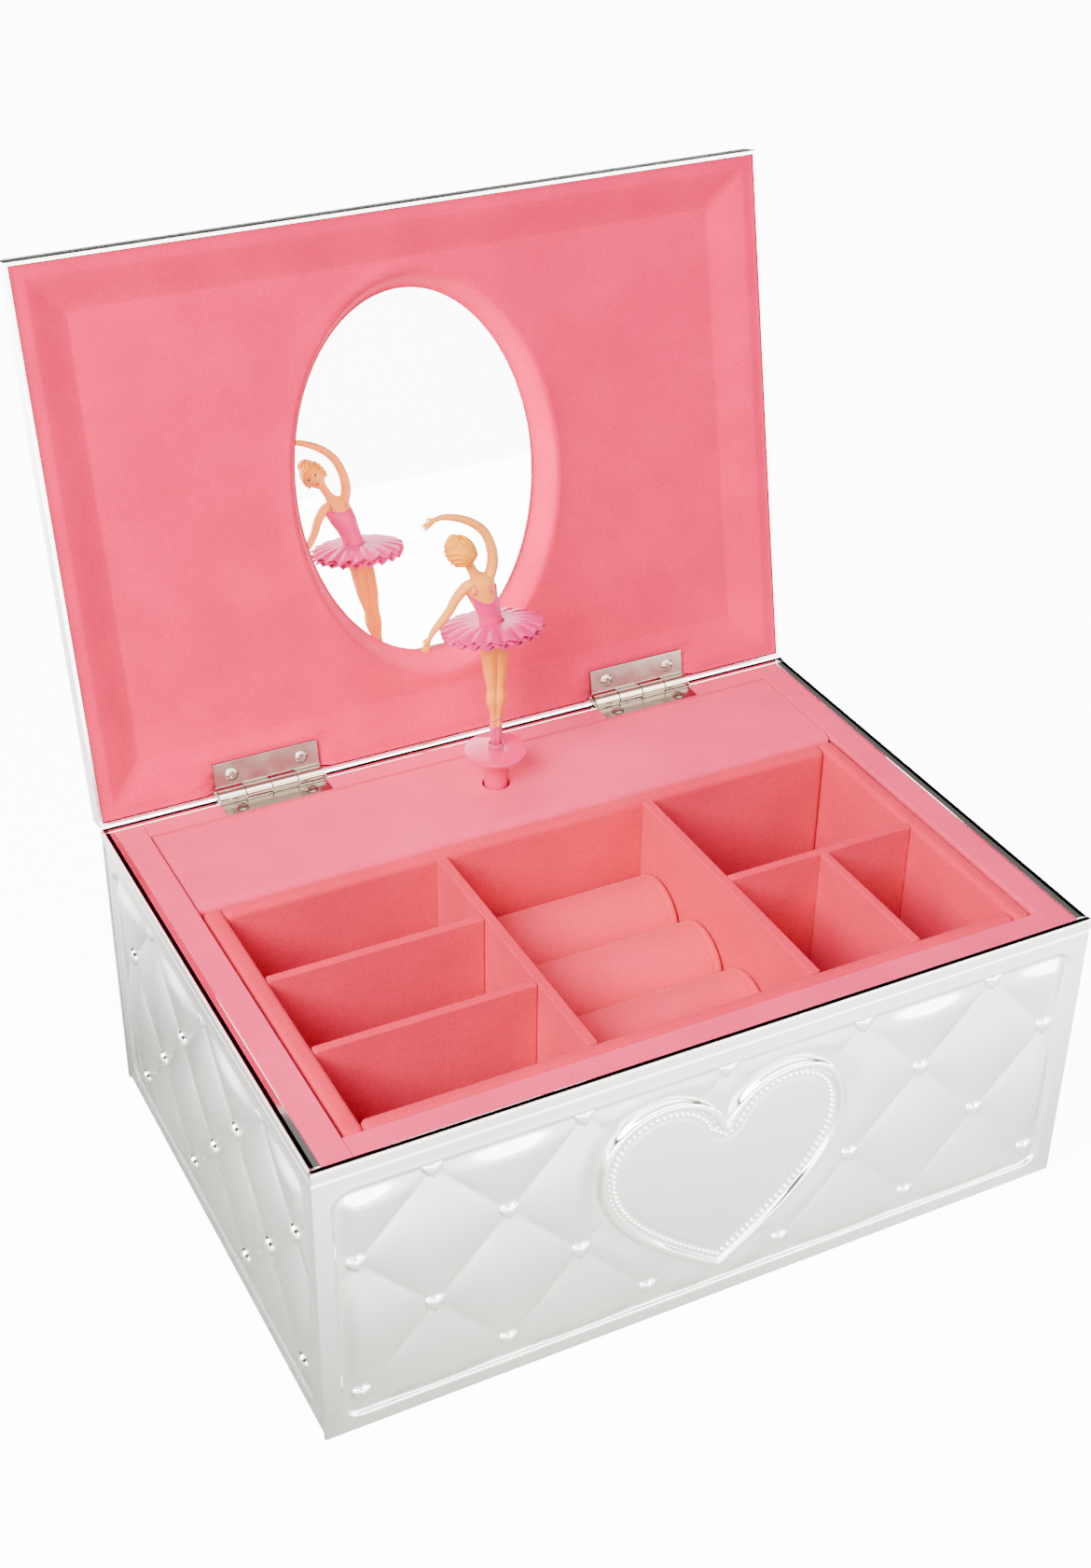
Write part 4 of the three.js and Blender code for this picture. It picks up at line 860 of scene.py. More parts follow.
def rounded_copy(node, name, material, radius, segments=3, angle=40):
    """A copy of a solid whose sharp edges are rounded."""
    mesh = frame["nodes"][node].data.copy()
    work = bmesh.new()
    work.from_mesh(mesh)
    bmesh.ops.remove_doubles(work, verts=work.verts, dist=1e-7)
    work.to_mesh(mesh)
    work.free()
    for attribute in ("custom_normal", "sharp_edge", "sharp_face"):
        if attribute in mesh.attributes:
            mesh.attributes.remove(mesh.attributes[attribute])
    mesh.polygons.foreach_set("use_smooth", np.ones(len(mesh.polygons), bool))
    piece = bpy.data.objects.new(name, mesh)
    bpy.context.scene.collection.objects.link(piece)
    bevel = piece.modifiers.new("Edges", "BEVEL")
    bevel.width = radius * MM
    bevel.segments = segments
    bevel.limit_method = "ANGLE"
    bevel.angle_limit = np.radians(angle)
    bevel.harden_normals = True
    bevel.use_clamp_overlap = True
    apply_modifiers(piece)
    mesh = piece.data
    mesh.materials.clear()
    mesh.materials.append(MATERIALS[material])
    return piece


class BOX_OT_tray(bpy.types.Operator):
    """Makes the flocked tray with its dividers and ring rolls"""

    bl_idname = "jewel_box.tray"
    bl_label = "Tray and ring rolls"

    def execute(self, context):
        walls = {
            "tray_wall_left": 1, "tray_wall_right": 1, "tray_wall_front": 0, "tray_wall_back": 0,
            "tray_divider_left": 1, "tray_divider_right": 1, "tray_cross_left_1": 0,
            "tray_cross_left_2": 0, "tray_cross_right": 0, "tray_short_divider": 1, "tray_floor": 0,
        }
        for node, axis in walls.items():
            flock, radius = "tray", 0.4
            if node == "tray_floor":
                # The floor takes that darkened flock, which is painted shade.
                flock, radius = "tray_floor", 0.3
            elif "wall" in node:
                radius = 1.5
            piece = soft_bar(*node_box(node), radius, axis).build("lined_" + node, [flock], sharp=70)
            place(piece, "root", "flocking", node)
        for index in (1, 2, 3):
            self.roll(index)
        return {"FINISHED"}

    def roll(self, index):
        """A padded roll: a cylinder with rounded ends and a shallow seam round each end."""
        low, high = node_box(f"ring_roll_{index}")
        middle, radius = (low + high) / 2, (high[2] - low[2]) / 2
        rounding, seam_depth = 1.6, 0.22
        x = np.linspace(low[0], high[0], 120)[:, None]
        from_end = np.minimum(x - low[0], high[0] - x)
        body = radius - rounding + rounding * np.sqrt(
            np.clip(1 - (1 - np.clip(from_end / rounding, 0, 1)) ** 2, 0, 1)
        )
        body = body - seam_depth * ridge(from_end - 2.6, 0.3)
        turn = np.linspace(0, 2 * np.pi, 72, endpoint=False)
        rows = np.stack([
            x + 0 * turn, middle[1] + body * np.cos(turn), middle[2] + body * np.sin(turn),
        ], -1)
        padding = Surface().grid(rows, wrap=True).fan(rows[0]).fan(rows[-1])
        piece = padding.build(f"padded_roll_{index}", ["roll"])
        place(piece, "root", "flocking", f"ring_roll_{index}")


# ------------------------------------------------------------------ lid


class BOX_OT_lid(bpy.types.Operator):
    """Makes the lid: quilted shell outside, dished flocked liner and mirror inside"""

    bl_idname = "jewel_box.lid"
    bl_label = "Lid"

    def execute(self, context):
        self.shell(context.scene.box_plating)
        self.liner()
        paint(frame["nodes"]["lid_mirror"], "glass")
        return {"FINISHED"}

    def shell(self, settings):
        """The pressed lid: a flat top in puffs, a sloping edge and an upright rim, one millimetre thick."""
        half_x, half_y = BOX_WIDTH / 2, BOX_DEPTH / 2
        upright, height, slope, thick = 6.2, 15.8, 15, 1.0
        yy, xx = np.meshgrid(axis_steps(half_y), axis_steps(half_x), indexing="ij")
        inset = np.minimum(half_x - np.abs(xx), half_y - np.abs(yy))
        rise = upright + (height - upright) * smoothstep(np.clip(inset, 0, slope) / slope) ** 0.8
        field = smoothstep((inset - 17) / 4)
        quilt = puffs(xx, yy, settings.pitch / MM, settings.row / MM, 0, 0)
        top = rise - field * 1.2 + field * quilt * 1.0
        outer = np.stack([xx, yy, LID_RIM + top], -1)
        inner = np.stack([
            xx * (1 - thick / half_x), yy * (1 - thick / half_y), LID_RIM + np.maximum(rise - 1.9, thick),
        ], -1)
        surface = Surface().grid(outer).grid(inner)
        for pick in SHEET_EDGES:
            edge, inside = outer[pick], inner[pick]
            low_edge, low_inside = edge.copy(), inside.copy()
            low_edge[:, 2] = LID_RIM + 0.25
            tip, tip_inside = edge.copy(), inside.copy()
            tip[:, 2] = tip_inside[:, 2] = LID_RIM
            tip[:, :2] *= 1 - 0.2 / half_x
            low_inside[:, 2] = LID_RIM + 0.1
            surface.grid(np.stack([edge, low_edge, tip, tip_inside, low_inside, inside]))
        surface.points = [opened(p) for p in surface.points]
        piece = surface.build("plated_lid", ["plate"], sharp=40)
        cut_lid_notches(piece)
        place(piece, "lid", "silver_plate", "lid_shell")

    def liner(self):
        """The flocked liner: rings of points that pass from the lid's rectangle to the mirror's oval."""
        half = np.array([BOX_WIDTH / 2, BOX_DEPTH / 2]) - 1.3
        lip = np.array([5.5, 4.4])
        turn = np.linspace(0, 2 * np.pi, 400, endpoint=False)
        way = np.stack([np.cos(turn), np.sin(turn)], -1)
        square = way / np.abs(way).max(1, keepdims=True)
        rings = [square * (half - inset) for inset in np.linspace(0, 16, 46)]
        wide = way * (OVAL + lip)
        rings += [rings[-1] + (wide - rings[-1]) * t for t in np.linspace(0, 1, 14)[1:-1]]
        rings += [way * (OVAL + lip * (1 - t)) for t in np.linspace(0, 1, 26)]
        flat = np.array(rings)
        x, y = flat[..., 0], flat[..., 1]
        face = np.stack([x, y, LID_RIM + liner_depth(x, y, *half)], -1)
        reach = (1 - np.hypot(x / OVAL[0], y / OVAL[1])) * 43
        back = face.copy()
        back[..., 2] += 1.2 - 1.1 * smoothstep((reach + 3.5) / 2.5)
        surface = Surface().grid(face, wrap=True).grid(back, wrap=True)
        for k in (0, -1):
            surface.grid(np.stack([face[k], back[k]]), wrap=True)
        surface.points = [opened(p) for p in surface.points]
        piece = surface.build("lined_lid", ["liner"], sharp=70)
        cut_lid_notches(piece)
        place(piece, "lid", "flocking", "lid_liner")


def axis_steps(half):
    """Even steps across a width, with finer ones towards both edges."""
    fine_band, step = 18, 1.2
    edge = half - np.linspace(0, fine_band, 72)
    inner = np.linspace(-(half - fine_band), half - fine_band, int(2 * (half - fine_band) / step))
    return np.unique(np.concatenate([-edge, inner, edge]).round(4))


def liner_depth(x, y, half_x, half_y):
    """Depth of the flocked face over the rim plane, closed, in millimetres.

    A flat border, a bevel with softened mitres, a low lip and a well round the oval of the mirror; the
    bevel is pressed flat where the hinge leaves lie.
    """
    corner = 2.0
    dx, dy = half_x - np.abs(x), half_y - np.abs(y)
    mitre = -corner * np.log(np.exp(-dx / corner) + np.exp(-dy / corner))
    inset = np.minimum(mitre + corner * np.exp(-np.abs(dx - dy) / corner) * 0.69, np.minimum(dx, dy))
    slope = np.clip((inset - 3.2) / 9.8, 0, 1)
    bevel = 0.35 + 4.15 * (0.75 * slope + 0.25 * smoothstep(slope))
    round_edge = 0.35 * (1 - smoothstep(inset / 0.8)) * -0.6
    outside = (np.hypot(x / OVAL[0], y / OVAL[1]) - 1) * OVAL.mean()
    well = 7.4 * (1 - smoothstep(outside / 4.6))
    lip = -0.5 * ridge(outside - 5.6, 1.5)
    for hinge in (-57.2, 57.2):
        over = smoothstep((17.5 - np.abs(x - hinge)) / 1.5) * smoothstep((y - (half_y - 10.6)) / 1.5)
        bevel = bevel * (1 - over) + 2.0 * over
    return bevel + round_edge + well + lip


def cut_lid_notches(piece):
    """Cuts the barrels' room out of a lid piece, and the leaves' recess too if it is the liner."""
    # Each cut's room beside the leaf, its reach in from the back and its height over the hinge axis.
    barrel, leaf = (NOTCH_ROOM, 2.35, 2.35), (0.35, 9.55, 2.12)
    for name in HINGE_LEAVES:
        low, high = node_box(name)
        for room, reach, rise in ([barrel, leaf] if "lined" in piece.name else [barrel]):
            start = (low[0] - room, BOX_DEPTH / 2 - reach, LID_RIM - 3)
            end = (high[0] + room, BOX_DEPTH / 2 + 3, LID_AXIS[2] + rise)
            cut_away(piece, soft_bar(start, end, 0.05, 0, arc=1, shift=opened))


def paint(node, material):
    """Gives a solid of the model one material, its own mesh unchanged."""
    node.data.materials.clear()
    node.data.materials.append(MATERIALS[material])


# ------------------------------------------------------------------ hinges and works


class BOX_OT_hinges(bpy.types.Operator):
    """Makes both hinges: leaves with rounded edges in a nickel darkened as painted shade, knuckles lightened
    as a painted highlight, pins and cross-head screws
    """

    bl_idname = "jewel_box.hinges"
    bl_label = "Hinges"

    def execute(self, context):
        for hand in ("left", "right"):
            for part, body in (("box_leaf", "root"), ("lid_leaf", "lid")):
                node = f"hinge_{hand}_{part}"
                leaf = rounded_copy(node, f"rounded_{node}", "nickel", 0.12, 2)
                leaf.data.materials.append(MATERIALS["pin"])
                # The knuckles get the lighter nickel as a painted highlight.
                self.lighten_knuckles_as_painted_highlight(leaf.data)
                place(leaf, body, "nickel", node)
            paint(frame["nodes"][f"hinge_{hand}_pin"], "pin")
            for place_on, body in (("box", "root"), ("lid", "lid")):
                for letter in ("a", "b"):
                    node = f"hinge_{hand}_{place_on}_screw_{letter}"
                    screw = rounded_copy(node, f"rounded_{node}", "nickel", 0.09, 2, 50)
                    place(screw, body, "nickel", node)
        return {"FINISHED"}

    @staticmethod
    def lighten_knuckles_as_painted_highlight(mesh):
        """Gives the faces that lie round the hinge axis the lighter nickel, a painted highlight on the
        knuckles.
        """
        count = len(mesh.polygons)
        centres = np.empty(count * 3, np.float32)
        mesh.polygons.foreach_get("center", centres)
        centres = centres.reshape(-1, 3) / MM
        reach = np.hypot(centres[:, 1] - LID_AXIS[1], centres[:, 2] - LID_AXIS[2])
        mesh.polygons.foreach_set("material_index", (reach < 2.12).astype(np.int32))


class BOX_OT_works(bpy.types.Operator):
    """Finishes the wind-up works under the cover, the key and the springs"""

    bl_idname = "jewel_box.works"
    bl_label = "Wind-up works"

    def execute(self, context):
        finishes = {
            "music_comb": "steel", "drive_spindle": "steel", "mainspring": "steel",
            "winding_arbor": "steel", "governor_fly": "steel", "stop_collar": "steel",
            "music_cylinder": "brass", "spring_barrel": "brass",
        }
        for node, material in finishes.items():
            paint(frame["nodes"][node], material)
        casting = rounded_copy("movement_frame", "cast_frame", "cast", 0.2, 2)
        place(casting, "root", "cast_metal", "movement_frame")
        key = rounded_copy("winding_key", "rounded_key", "brass", 0.35, 3)
        place(key, "key", "brass", "winding_key")
        self.return_spring()
        return {"FINISHED"}

    def return_spring(self):
        """The coil that lifts the post: a wire on a helix."""
        low, high = node_box("post_spring")
        turns, wire = 6, 0.43
        path = helix((high[0] - low[0]) / 2 - wire, turns, low[2] + wire, high[2] - wire, turns * 24)
        coil = tube(path, wire, 8).build("return_spring", ["steel"], sharp=80)
        place(coil, "root", "spring_steel", "post_spring")
        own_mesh(coil)


def helix(radius, turns, low, high, count):
    """Points of an even coil round the post's axis, from one height to another."""
    t = np.linspace(0, 1, count)
    angle = 2 * np.pi * turns * t
    return np.stack([
        PIVOT[0] + radius * np.cos(angle), PIVOT[1] + radius * np.sin(angle), low + (high - low) * t,
    ], -1)


# ------------------------------------------------------------------ dancer


def tilt_matrix(lean, turn, nod):
    """Turns the head: nod forward, lean to a side, then turn about the upright, in degrees."""
    lean, turn, nod = np.radians([lean, turn, nod])
    forward = np.array([[1, 0, 0], [0, np.cos(nod), -np.sin(nod)], [0, np.sin(nod), np.cos(nod)]])
    sideways = np.array([[np.cos(lean), 0, np.sin(lean)], [0, 1, 0], [-np.sin(lean), 0, np.cos(lean)]])
    about = np.array([[np.cos(turn), -np.sin(turn), 0], [np.sin(turn), np.cos(turn), 0], [0, 0, 1]])
    return about @ sideways @ forward


HEAD_TURN = tilt_matrix(-26, 30, -12)
HEAD_CENTRE = PIVOT + [-9.9, 0.4, 58.9]
HEAD_SCALE = 1.08

# The trunk from hips to head, as (x, y, z, half width, half depth) from the dancer's pivot.
TRUNK = np.array([
    (-0.6, 0, 29, 3.6, 2.8), (-0.8, 0, 33, 3.9, 3.0), (-1.4, 0, 37, 3.0, 2.3), (-1.9, 0.1, 39.5, 2.85, 2.15),
    (-3.0, 0.3, 43, 3.4, 2.5), (-4.0, 0.35, 46, 3.9, 2.55), (-4.7, 0.05, 48.6, 4.1, 2.1),
    (-5.2, 0, 50, 3.4, 1.7), (-5.8, 0, 51.2, 1.9, 1.4), (-6.6, 0.1, 52.8, 1.3, 1.3),
    (-8.3, 0.3, 56.4, 1.25, 1.3),
])


def on_head(points):
    """Points given in the head's own frame: x to its right, y forward, z to the crown."""
    return HEAD_CENTRE + HEAD_SCALE * np.asarray(points, float) @ HEAD_TURN.T


class BOX_OT_pedestal(bpy.types.Operator):
    """Makes the post with its disc and the small coil at the dancer's toes"""

    bl_idname = "jewel_box.pedestal"
    bl_label = "Post and disc"

    def execute(self, context):
        low, high = node_box("pedestal")
        radius, stem, bore = (high[0] - low[0]) / 2, 3.25, 1.7
        top, under = high[2], high[2] - 2.0
        profile = np.array([
            (0, top - 4.2), (bore, top - 4.2), (bore, low[2]), (stem - 0.4, low[2]), (stem, low[2] + 0.4),
            (stem, under - 1.2), (stem + 0.3, under - 0.4), (stem + 1.1, under), (radius - 0.7, under + 0.15),
            (radius - 0.15, under + 0.5), (radius, under + 1.0), (radius - 0.2, top - 0.45),
            (radius - 0.8, top - 0.2), (5.2, top - 0.12), (4.6, top), (0, top),
        ])
        turn = np.linspace(0, 2 * np.pi, 64, endpoint=False)
        rows = np.stack([
            PIVOT[0] + profile[:, :1] * np.cos(turn), PIVOT[1] + profile[:, :1] * np.sin(turn),
            np.repeat(profile[:, 1:], 64, 1),
        ], -1)
        post = Surface().grid(rows, wrap=True).build("post_and_disc", ["pedestal"], sharp=40)
        place(post, "pedestal", "pink_plastic", "pedestal")
        self.toe_spring()
        return {"FINISHED"}

    def toe_spring(self):
        """The small coil at the dancer's toes."""
        low, high = node_box("figure_spring")
        wire, turns, radius, rise = 0.28, 2, 1.95, 1.75
        path = helix(radius, turns, low[2] + wire, low[2] + rise - wire, 100)
        coil = tube(path, wire, 8).build("toe_spring", ["ribbon"], sharp=80)
        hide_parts("figure_spring")
        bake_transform(coil)


class BOX_OT_dancer(bpy.types.Operator):
    """Makes the dancer: body, face, arms, shoes, costume with its ruffles, and hair"""

    bl_idname = "jewel_box.dancer"
    bl_label = "Dancer"

    def execute(self, context):
        self.body()
        self.head()
        self.costume()
        self.ruffles()
        self.hair()
        return {"FINISHED"}

    def body(self):
        """Legs, trunk, neck and arms: tubes of changing width along curves."""
        body = Surface()
        standing = smooth_path([
            (0.5, 0, -1.3, 0.5), (0.5, 0, 0.6, 0.95), (0.55, 0.05, 4, 1.1), (0.6, -0.1, 8.6, 0.98),
            (0.8, -0.25, 13, 1.65), (0.85, 0.0, 17, 1.5), (1.1, 0.1, 22, 1.9), (0.9, 0, 28, 2.3),
            (0.5, 0, 32, 2.4),
        ], 60)
        crossed = smooth_path([
            (-0.4, 0.2, -1.2, 0.45), (-0.45, 0.25, 0.6, 0.9), (-0.5, 0.3, 4, 1.05), (-0.6, 0.2, 8.6, 0.95),
            (-1.15, 0.1, 13, 1.6), (-1.1, 0.2, 17, 1.45), (-1.7, 0.1, 22, 1.85), (-1.9, 0, 28, 2.25),
            (-1.8, 0, 32, 2.3),
        ], 60)
        for leg in (standing, crossed):
            tube(PIVOT + leg[:, :3], leg[:, 3], 18, surface=body)
        trunk = smooth_path(TRUNK, 70)
        tube(PIVOT + trunk[:, :3], trunk[:, 3:], 28, surface=body)
        raised = smooth_path([
            (-3.8, 0, 48.6, 1.45), (-2.0, 0.2, 50.2, 1.55), (-0.8, 0.5, 54, 1.5), (-1.2, 0.7, 58.5, 1.35),
            (-3.0, 0.9, 62.8, 1.25), (-6.2, 0.9, 66.0, 1.15), (-10.2, 0.8, 68.2, 1.0),
            (-14.2, 0.7, 69.4, 0.8), (-16.8, 0.6, 69.3, 0.66),
        ], 60)
        lowered = smooth_path([
            (-6.6, 0, 49.4, 1.4), (-8.6, 0.1, 48.6, 1.5), (-11.2, 0.3, 45.9, 1.35), (-13.2, 0.6, 42.4, 1.2),
            (-15.4, 0.8, 39.7, 1.1), (-17.4, 0.8, 37.7, 0.9), (-18.8, 0.7, 35.8, 0.66),
        ], 60)
        for arm in (raised, lowered):
            tube(PIVOT + arm[:, :3], arm[:, 3], 16, surface=body)
        self.hand(body, raised[-1, :3], np.array([-0.9, -0.1, -0.42]), np.array([0, 0.5, 1.0]))
        self.hand(body, lowered[-1, :3], np.array([-0.42, -0.05, -0.9]), np.array([-0.8, 0.5, 0.6]))
        piece = body.build("dancer_limbs", ["skin"], sharp=80)
        place(piece, "figure", "doll_plastic", "dancer_body")
        self.shoes(standing, crossed)

    def shoes(self, standing, crossed):
        """The shoes, a skin just outside the feet, and two ribbons that cross round each ankle."""
        shoes = Surface()
        turn = np.linspace(0, 2 * np.pi, 28)
        for leg in (standing, crossed):
            foot = leg[:17]
            tube(PIVOT + foot[:, :3], foot[:, 3] + 0.1, 18, surface=shoes)
        for leg, way in ((standing, 1), (crossed, -1)):
            for level, slope in ((5.2, 0.55 * way), (7.2, -0.55 * way)):
                x, y, _, ankle = leg[np.abs(leg[:, 2] - level).argmin()]
                reach = ankle + 0.12
                loop = np.stack([
                    x + reach * np.cos(turn), y + reach * np.sin(turn), level + slope * np.cos(turn),
                ], -1)
                tube(PIVOT + loop, 0.16, 6, surface=shoes)
        place(shoes.build("dancer_shoes", ["ribbon"], sharp=80), "figure", "doll_plastic")

    @staticmethod
    def hand(surface, wrist, way, thumb_way):
        """A small hand: a flattened palm, four fingers that fan a little, and a thumb."""
        way = way / np.linalg.norm(way)
        across = np.cross(way, thumb_way)
        across /= np.linalg.norm(across)
        up = np.cross(across, way)
        palm = np.array([wrist + way * s for s in (-0.3, 0.5, 1.4, 2.1)])
        breadth = [[0.55, 0.5], [0.8, 0.5], [0.95, 0.45], [0.75, 0.38]]
        tube(PIVOT + palm, breadth, 12, surface=surface)
        for k, length in zip((-1.1, -0.4, 0.3, 1.0), (1.7, 2.1, 2.2, 1.9)):
            start = wrist + way * 1.8 + up * 0.52 * k
            bend = way + up * 0.16 * k + across * 0.12
            finger = np.array([start, start + bend * length * 0.5, start + (bend - across * 0.25) * length])
            tube(PIVOT + finger, [0.3, 0.26, 0.18], 8, surface=surface)
        start = wrist + way * 0.5 + up * 0.6
        thumb = np.array([start, start + way * 0.8 + up * 0.5, start + way * 1.5 + up * 0.6])
        tube(PIVOT + thumb, [0.34, 0.28, 0.2], 8, surface=surface)

    def head(self):
        """A generic doll's head: an egg that narrows to the chin, a small nose and shallow eye hollows.

        Each feature is a bell curve added to the egg's depth.
        """
        x, y, z = on_sphere(*globe(48, 72))
        narrow = 1 - 0.34 * smoothstep(-z) * (np.abs(x) + 0.25)
        px, py, pz = 3.15 * x * narrow, 3.5 * y * (1 - 0.1 * smoothstep(-z)), 4.15 * z
        front = np.clip(y, 0, 1)

        def bump(cx, cz, rx, rz, height):
            """A bell-shaped swelling of the face, or a hollow if its height is negative."""
            return height * front**2 * np.exp(-(((px - cx) / rx) ** 2) - ((pz - cz) / rz) ** 2)

        py = py + bump(0, -0.75, 0.42, 0.62, 0.75) + bump(0, 0.2, 0.3, 0.9, 0.25)
        py = py + bump(1.2, 0.25, 0.75, 0.45, -0.3) + bump(-1.2, 0.25, 0.75, 0.45, -0.3)
        py = py + bump(0, -2.0, 0.9, 0.35, 0.22) + bump(0, -3.1, 0.8, 0.6, 0.3)
        head = Surface().grid(on_head(np.stack([px, py, pz], -1)), wrap=True)
        for side in (-1, 1):
            ball(on_head([side * 3.1, -0.1, -0.2]), (0.35, 0.6, 0.85), 8, 10, head, HEAD_TURN)
        place(head.build("dancer_head", ["skin"], sharp=80), "figure", "doll_plastic")

        self.face()

    def face(self):
        """Painted features: eyes, lashes and brows as flat balls and short arcs, and the lips."""
        white, dark, lips, brows = range(4)
        face = Surface()
        s = np.linspace(-1, 1, 9)
        for side in (-1, 1):
            ball(on_head([side * 1.22, 3.02, 0.22]), (0.6, 0.22, 0.3), 8, 14, face, HEAD_TURN, white)
            ball(on_head([side * 1.2, 3.16, 0.2]), (0.27, 0.14, 0.28), 8, 12, face, HEAD_TURN, dark)
            sink = 0.2 * s * s * np.where(s > 0, 1, 0.4)
            lash = np.stack([side * (1.22 + 0.68 * s), 3.24 - sink, 0.5 - 0.22 * s * s], -1)
            tube(on_head(lash), 0.085, 6, surface=face, slot=dark)
            brow = np.stack([side * (1.25 + 0.75 * s), 3.2 - 0.22 * s * s, 1.12 - 0.2 * s * s], -1)
            tube(on_head(brow), 0.1, 6, surface=face, slot=brows)
            ball(on_head([side * 0.28, 3.36, -1.86]), (0.42, 0.16, 0.15), 6, 12, face, HEAD_TURN, lips)
        ball(on_head([0, 3.36, -2.12]), (0.52, 0.18, 0.17), 6, 12, face, HEAD_TURN, lips)
        piece = face.build("dancer_face", ["white", "dark", "lips", "hair"], sharp=80)
        place(piece, "figure", "doll_plastic")

    def costume(self):
        """The bodice: a skin a little outside the trunk with a low curved back, piping round its top, and
        straps that run from the back and the front over the shoulders."""
        t = np.linspace(0, 1, 34)[:, None]
        turn = np.linspace(0, 2 * np.pi, 64, endpoint=False)[None]
        back = np.clip(-np.sin(turn), 0, 1)
        top = 47.2 - 3.6 * back**1.3 + 0.5 * np.abs(np.cos(turn)) - 0.5 * np.clip(np.sin(turn), 0, 1) ** 6
        z = 31 + (top - 31) * t
        cx, cy, rx, ry = (np.interp(z, TRUNK[:, 2], TRUNK[:, k]) for k in (0, 1, 3, 4))
        bust = 0.55 * ridge(z - 44.6, 1.7) * np.clip(np.sin(turn), 0, 1) * np.abs(np.cos(turn)) ** 0.5
        swell, sunk = 0.28 + bust, -0.2
        outer = PIVOT + np.stack([cx + (rx + swell) * np.cos(turn), cy + (ry + swell) * np.sin(turn), z], -1)
        inner = PIVOT + np.stack([cx + (rx + sunk) * np.cos(turn), cy + (ry + sunk) * np.sin(turn), z], -1)
        bodice = Surface().grid(outer, wrap=True).grid(inner, wrap=True)
        for k in (-1, 0):
            bodice.grid(np.stack([outer[k], inner[k]]), wrap=True)
        cords = [np.vstack([outer[-1], outer[-1][:1]])]
        behind = (((-7.2, -1.0, 46.2), (-6.9, -0.9, 50.1)), ((-1.9, -1.2, 45.6), (-3.7, -1.0, 49.8)))
        for start, end in behind:
            middle = ((start[0] + end[0]) / 2, -2.55, (start[2] + end[2]) / 2)
            cords.append(PIVOT + smooth_path([start, middle, end], 16))
        for x in (-7.0, -2.7):
            strap = [(x, 1.9, 46.9), (x + 0.1, 2.1, 48.6), (x + 0.2, 0.8, 50.1), (x + 0.1, -0.6, 49.9)]
            cords.append(PIVOT + smooth_path(strap, 16))
        for cord in cords:
            tube(cord, 0.2, 6, surface=bodice)
        place(bodice.build("dancer_bodice", ["dress"], sharp=60), "figure", "doll_plastic")

    def ruffles(self):
        """Three flared layers: each droops outwards and waves more and more towards its edge."""
        skirt = Surface()
        waist = 3.0
        t = np.linspace(0, 1, 26)[:, None]
        turn = np.linspace(0, 2 * np.pi, 300, endpoint=False)[None]
        layers = ((14.0, 37.2, 1.5, 18, 0.0), (13.8, 36.2, 1.6, 22, 1.1), (13.3, 35.2, 1.5, 20, 2.3))
        for radius, start, droop, waves, phase in layers:
            wave = np.sin(waves * turn + phase) + 0.35 * np.sin(2 * waves * turn + 2.1 * phase + 0.6)
            r = (waist + (radius - waist) * t) * (1 - 0.035 * t**3 * (1 + np.cos(waves * turn + phase)))
            z = start + 0.5 * np.sin(np.pi * t) - droop * t**1.7 + 0.45 * wave * t**1.6
            z = z - 0.2 * r * np.sin(turn)
            x, y = -0.9 + r * np.cos(turn), r * np.sin(turn)
            top = np.stack([x, y, z], -1)
            under = top - [0, 0, 0.42]
            skirt.grid(PIVOT + top, wrap=True).grid(PIVOT + under, wrap=True)
            for k in (-1, 0):
                skirt.grid(PIVOT + np.stack([top[k], under[k]]), wrap=True)
        piece = skirt.build("dancer_ruffles", ["dress"], sharp=60)
        place(piece, "figure", "skirt_vinyl", "dancer_skirt")
        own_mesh(piece)

    def hair(self):
        """Hair drawn back in ridges over the crown, its front edge sunk under the skin, to a coiled bun."""
        x, y, z = on_sphere(*globe(36, 120, low=-0.5))
        strand = 0.11 * np.sin(26 * np.arctan2(x, z + 0.55) + 3 * np.sin(2 * y))
        size = 1.0 + 0.03 * strand
        hairline = 0.42 + 0.25 * np.abs(x)
        fade = smoothstep((hairline - (y - 0.95 * np.clip(z, -0.3, 1))) / 0.16)
        out = 0.35 * fade - 0.55 * (1 - fade)
        px, py, pz = ((half + out + strand) * way * size for half, way in ((3.15, x), (3.5, y), (4.15, z)))
        cap = on_head(np.stack([px, py - 0.4 * np.clip(-z, 0, 1), pz], -1))
        hair = Surface().grid(cap, wrap=True).fan(cap[0])
        la, lo = globe(30, 60)
        swirl = 1 + 0.06 * np.sin(5 * lo + 7 * la)
        bun = swirl[..., None] * np.stack(on_sphere(la, lo), -1) * [2.5, 2.3, 1.9]
        tilt = HEAD_TURN @ tilt_matrix(0, 0, 35)
        hair.grid(HEAD_CENTRE + [-2.0, -0.6, 3.5] + 0.85 * bun @ tilt.T, wrap=True)
        piece = hair.build("dancer_hair_moulded", ["hair"], sharp=80)
        place(piece, "figure", "hair_plastic", "dancer_hair")


# ------------------------------------------------------------------ stage


# How bright floor and room are to the camera, so that both read as plain white.
FLOOR_WHITE, ROOM_WHITE = 12.0, 14.0


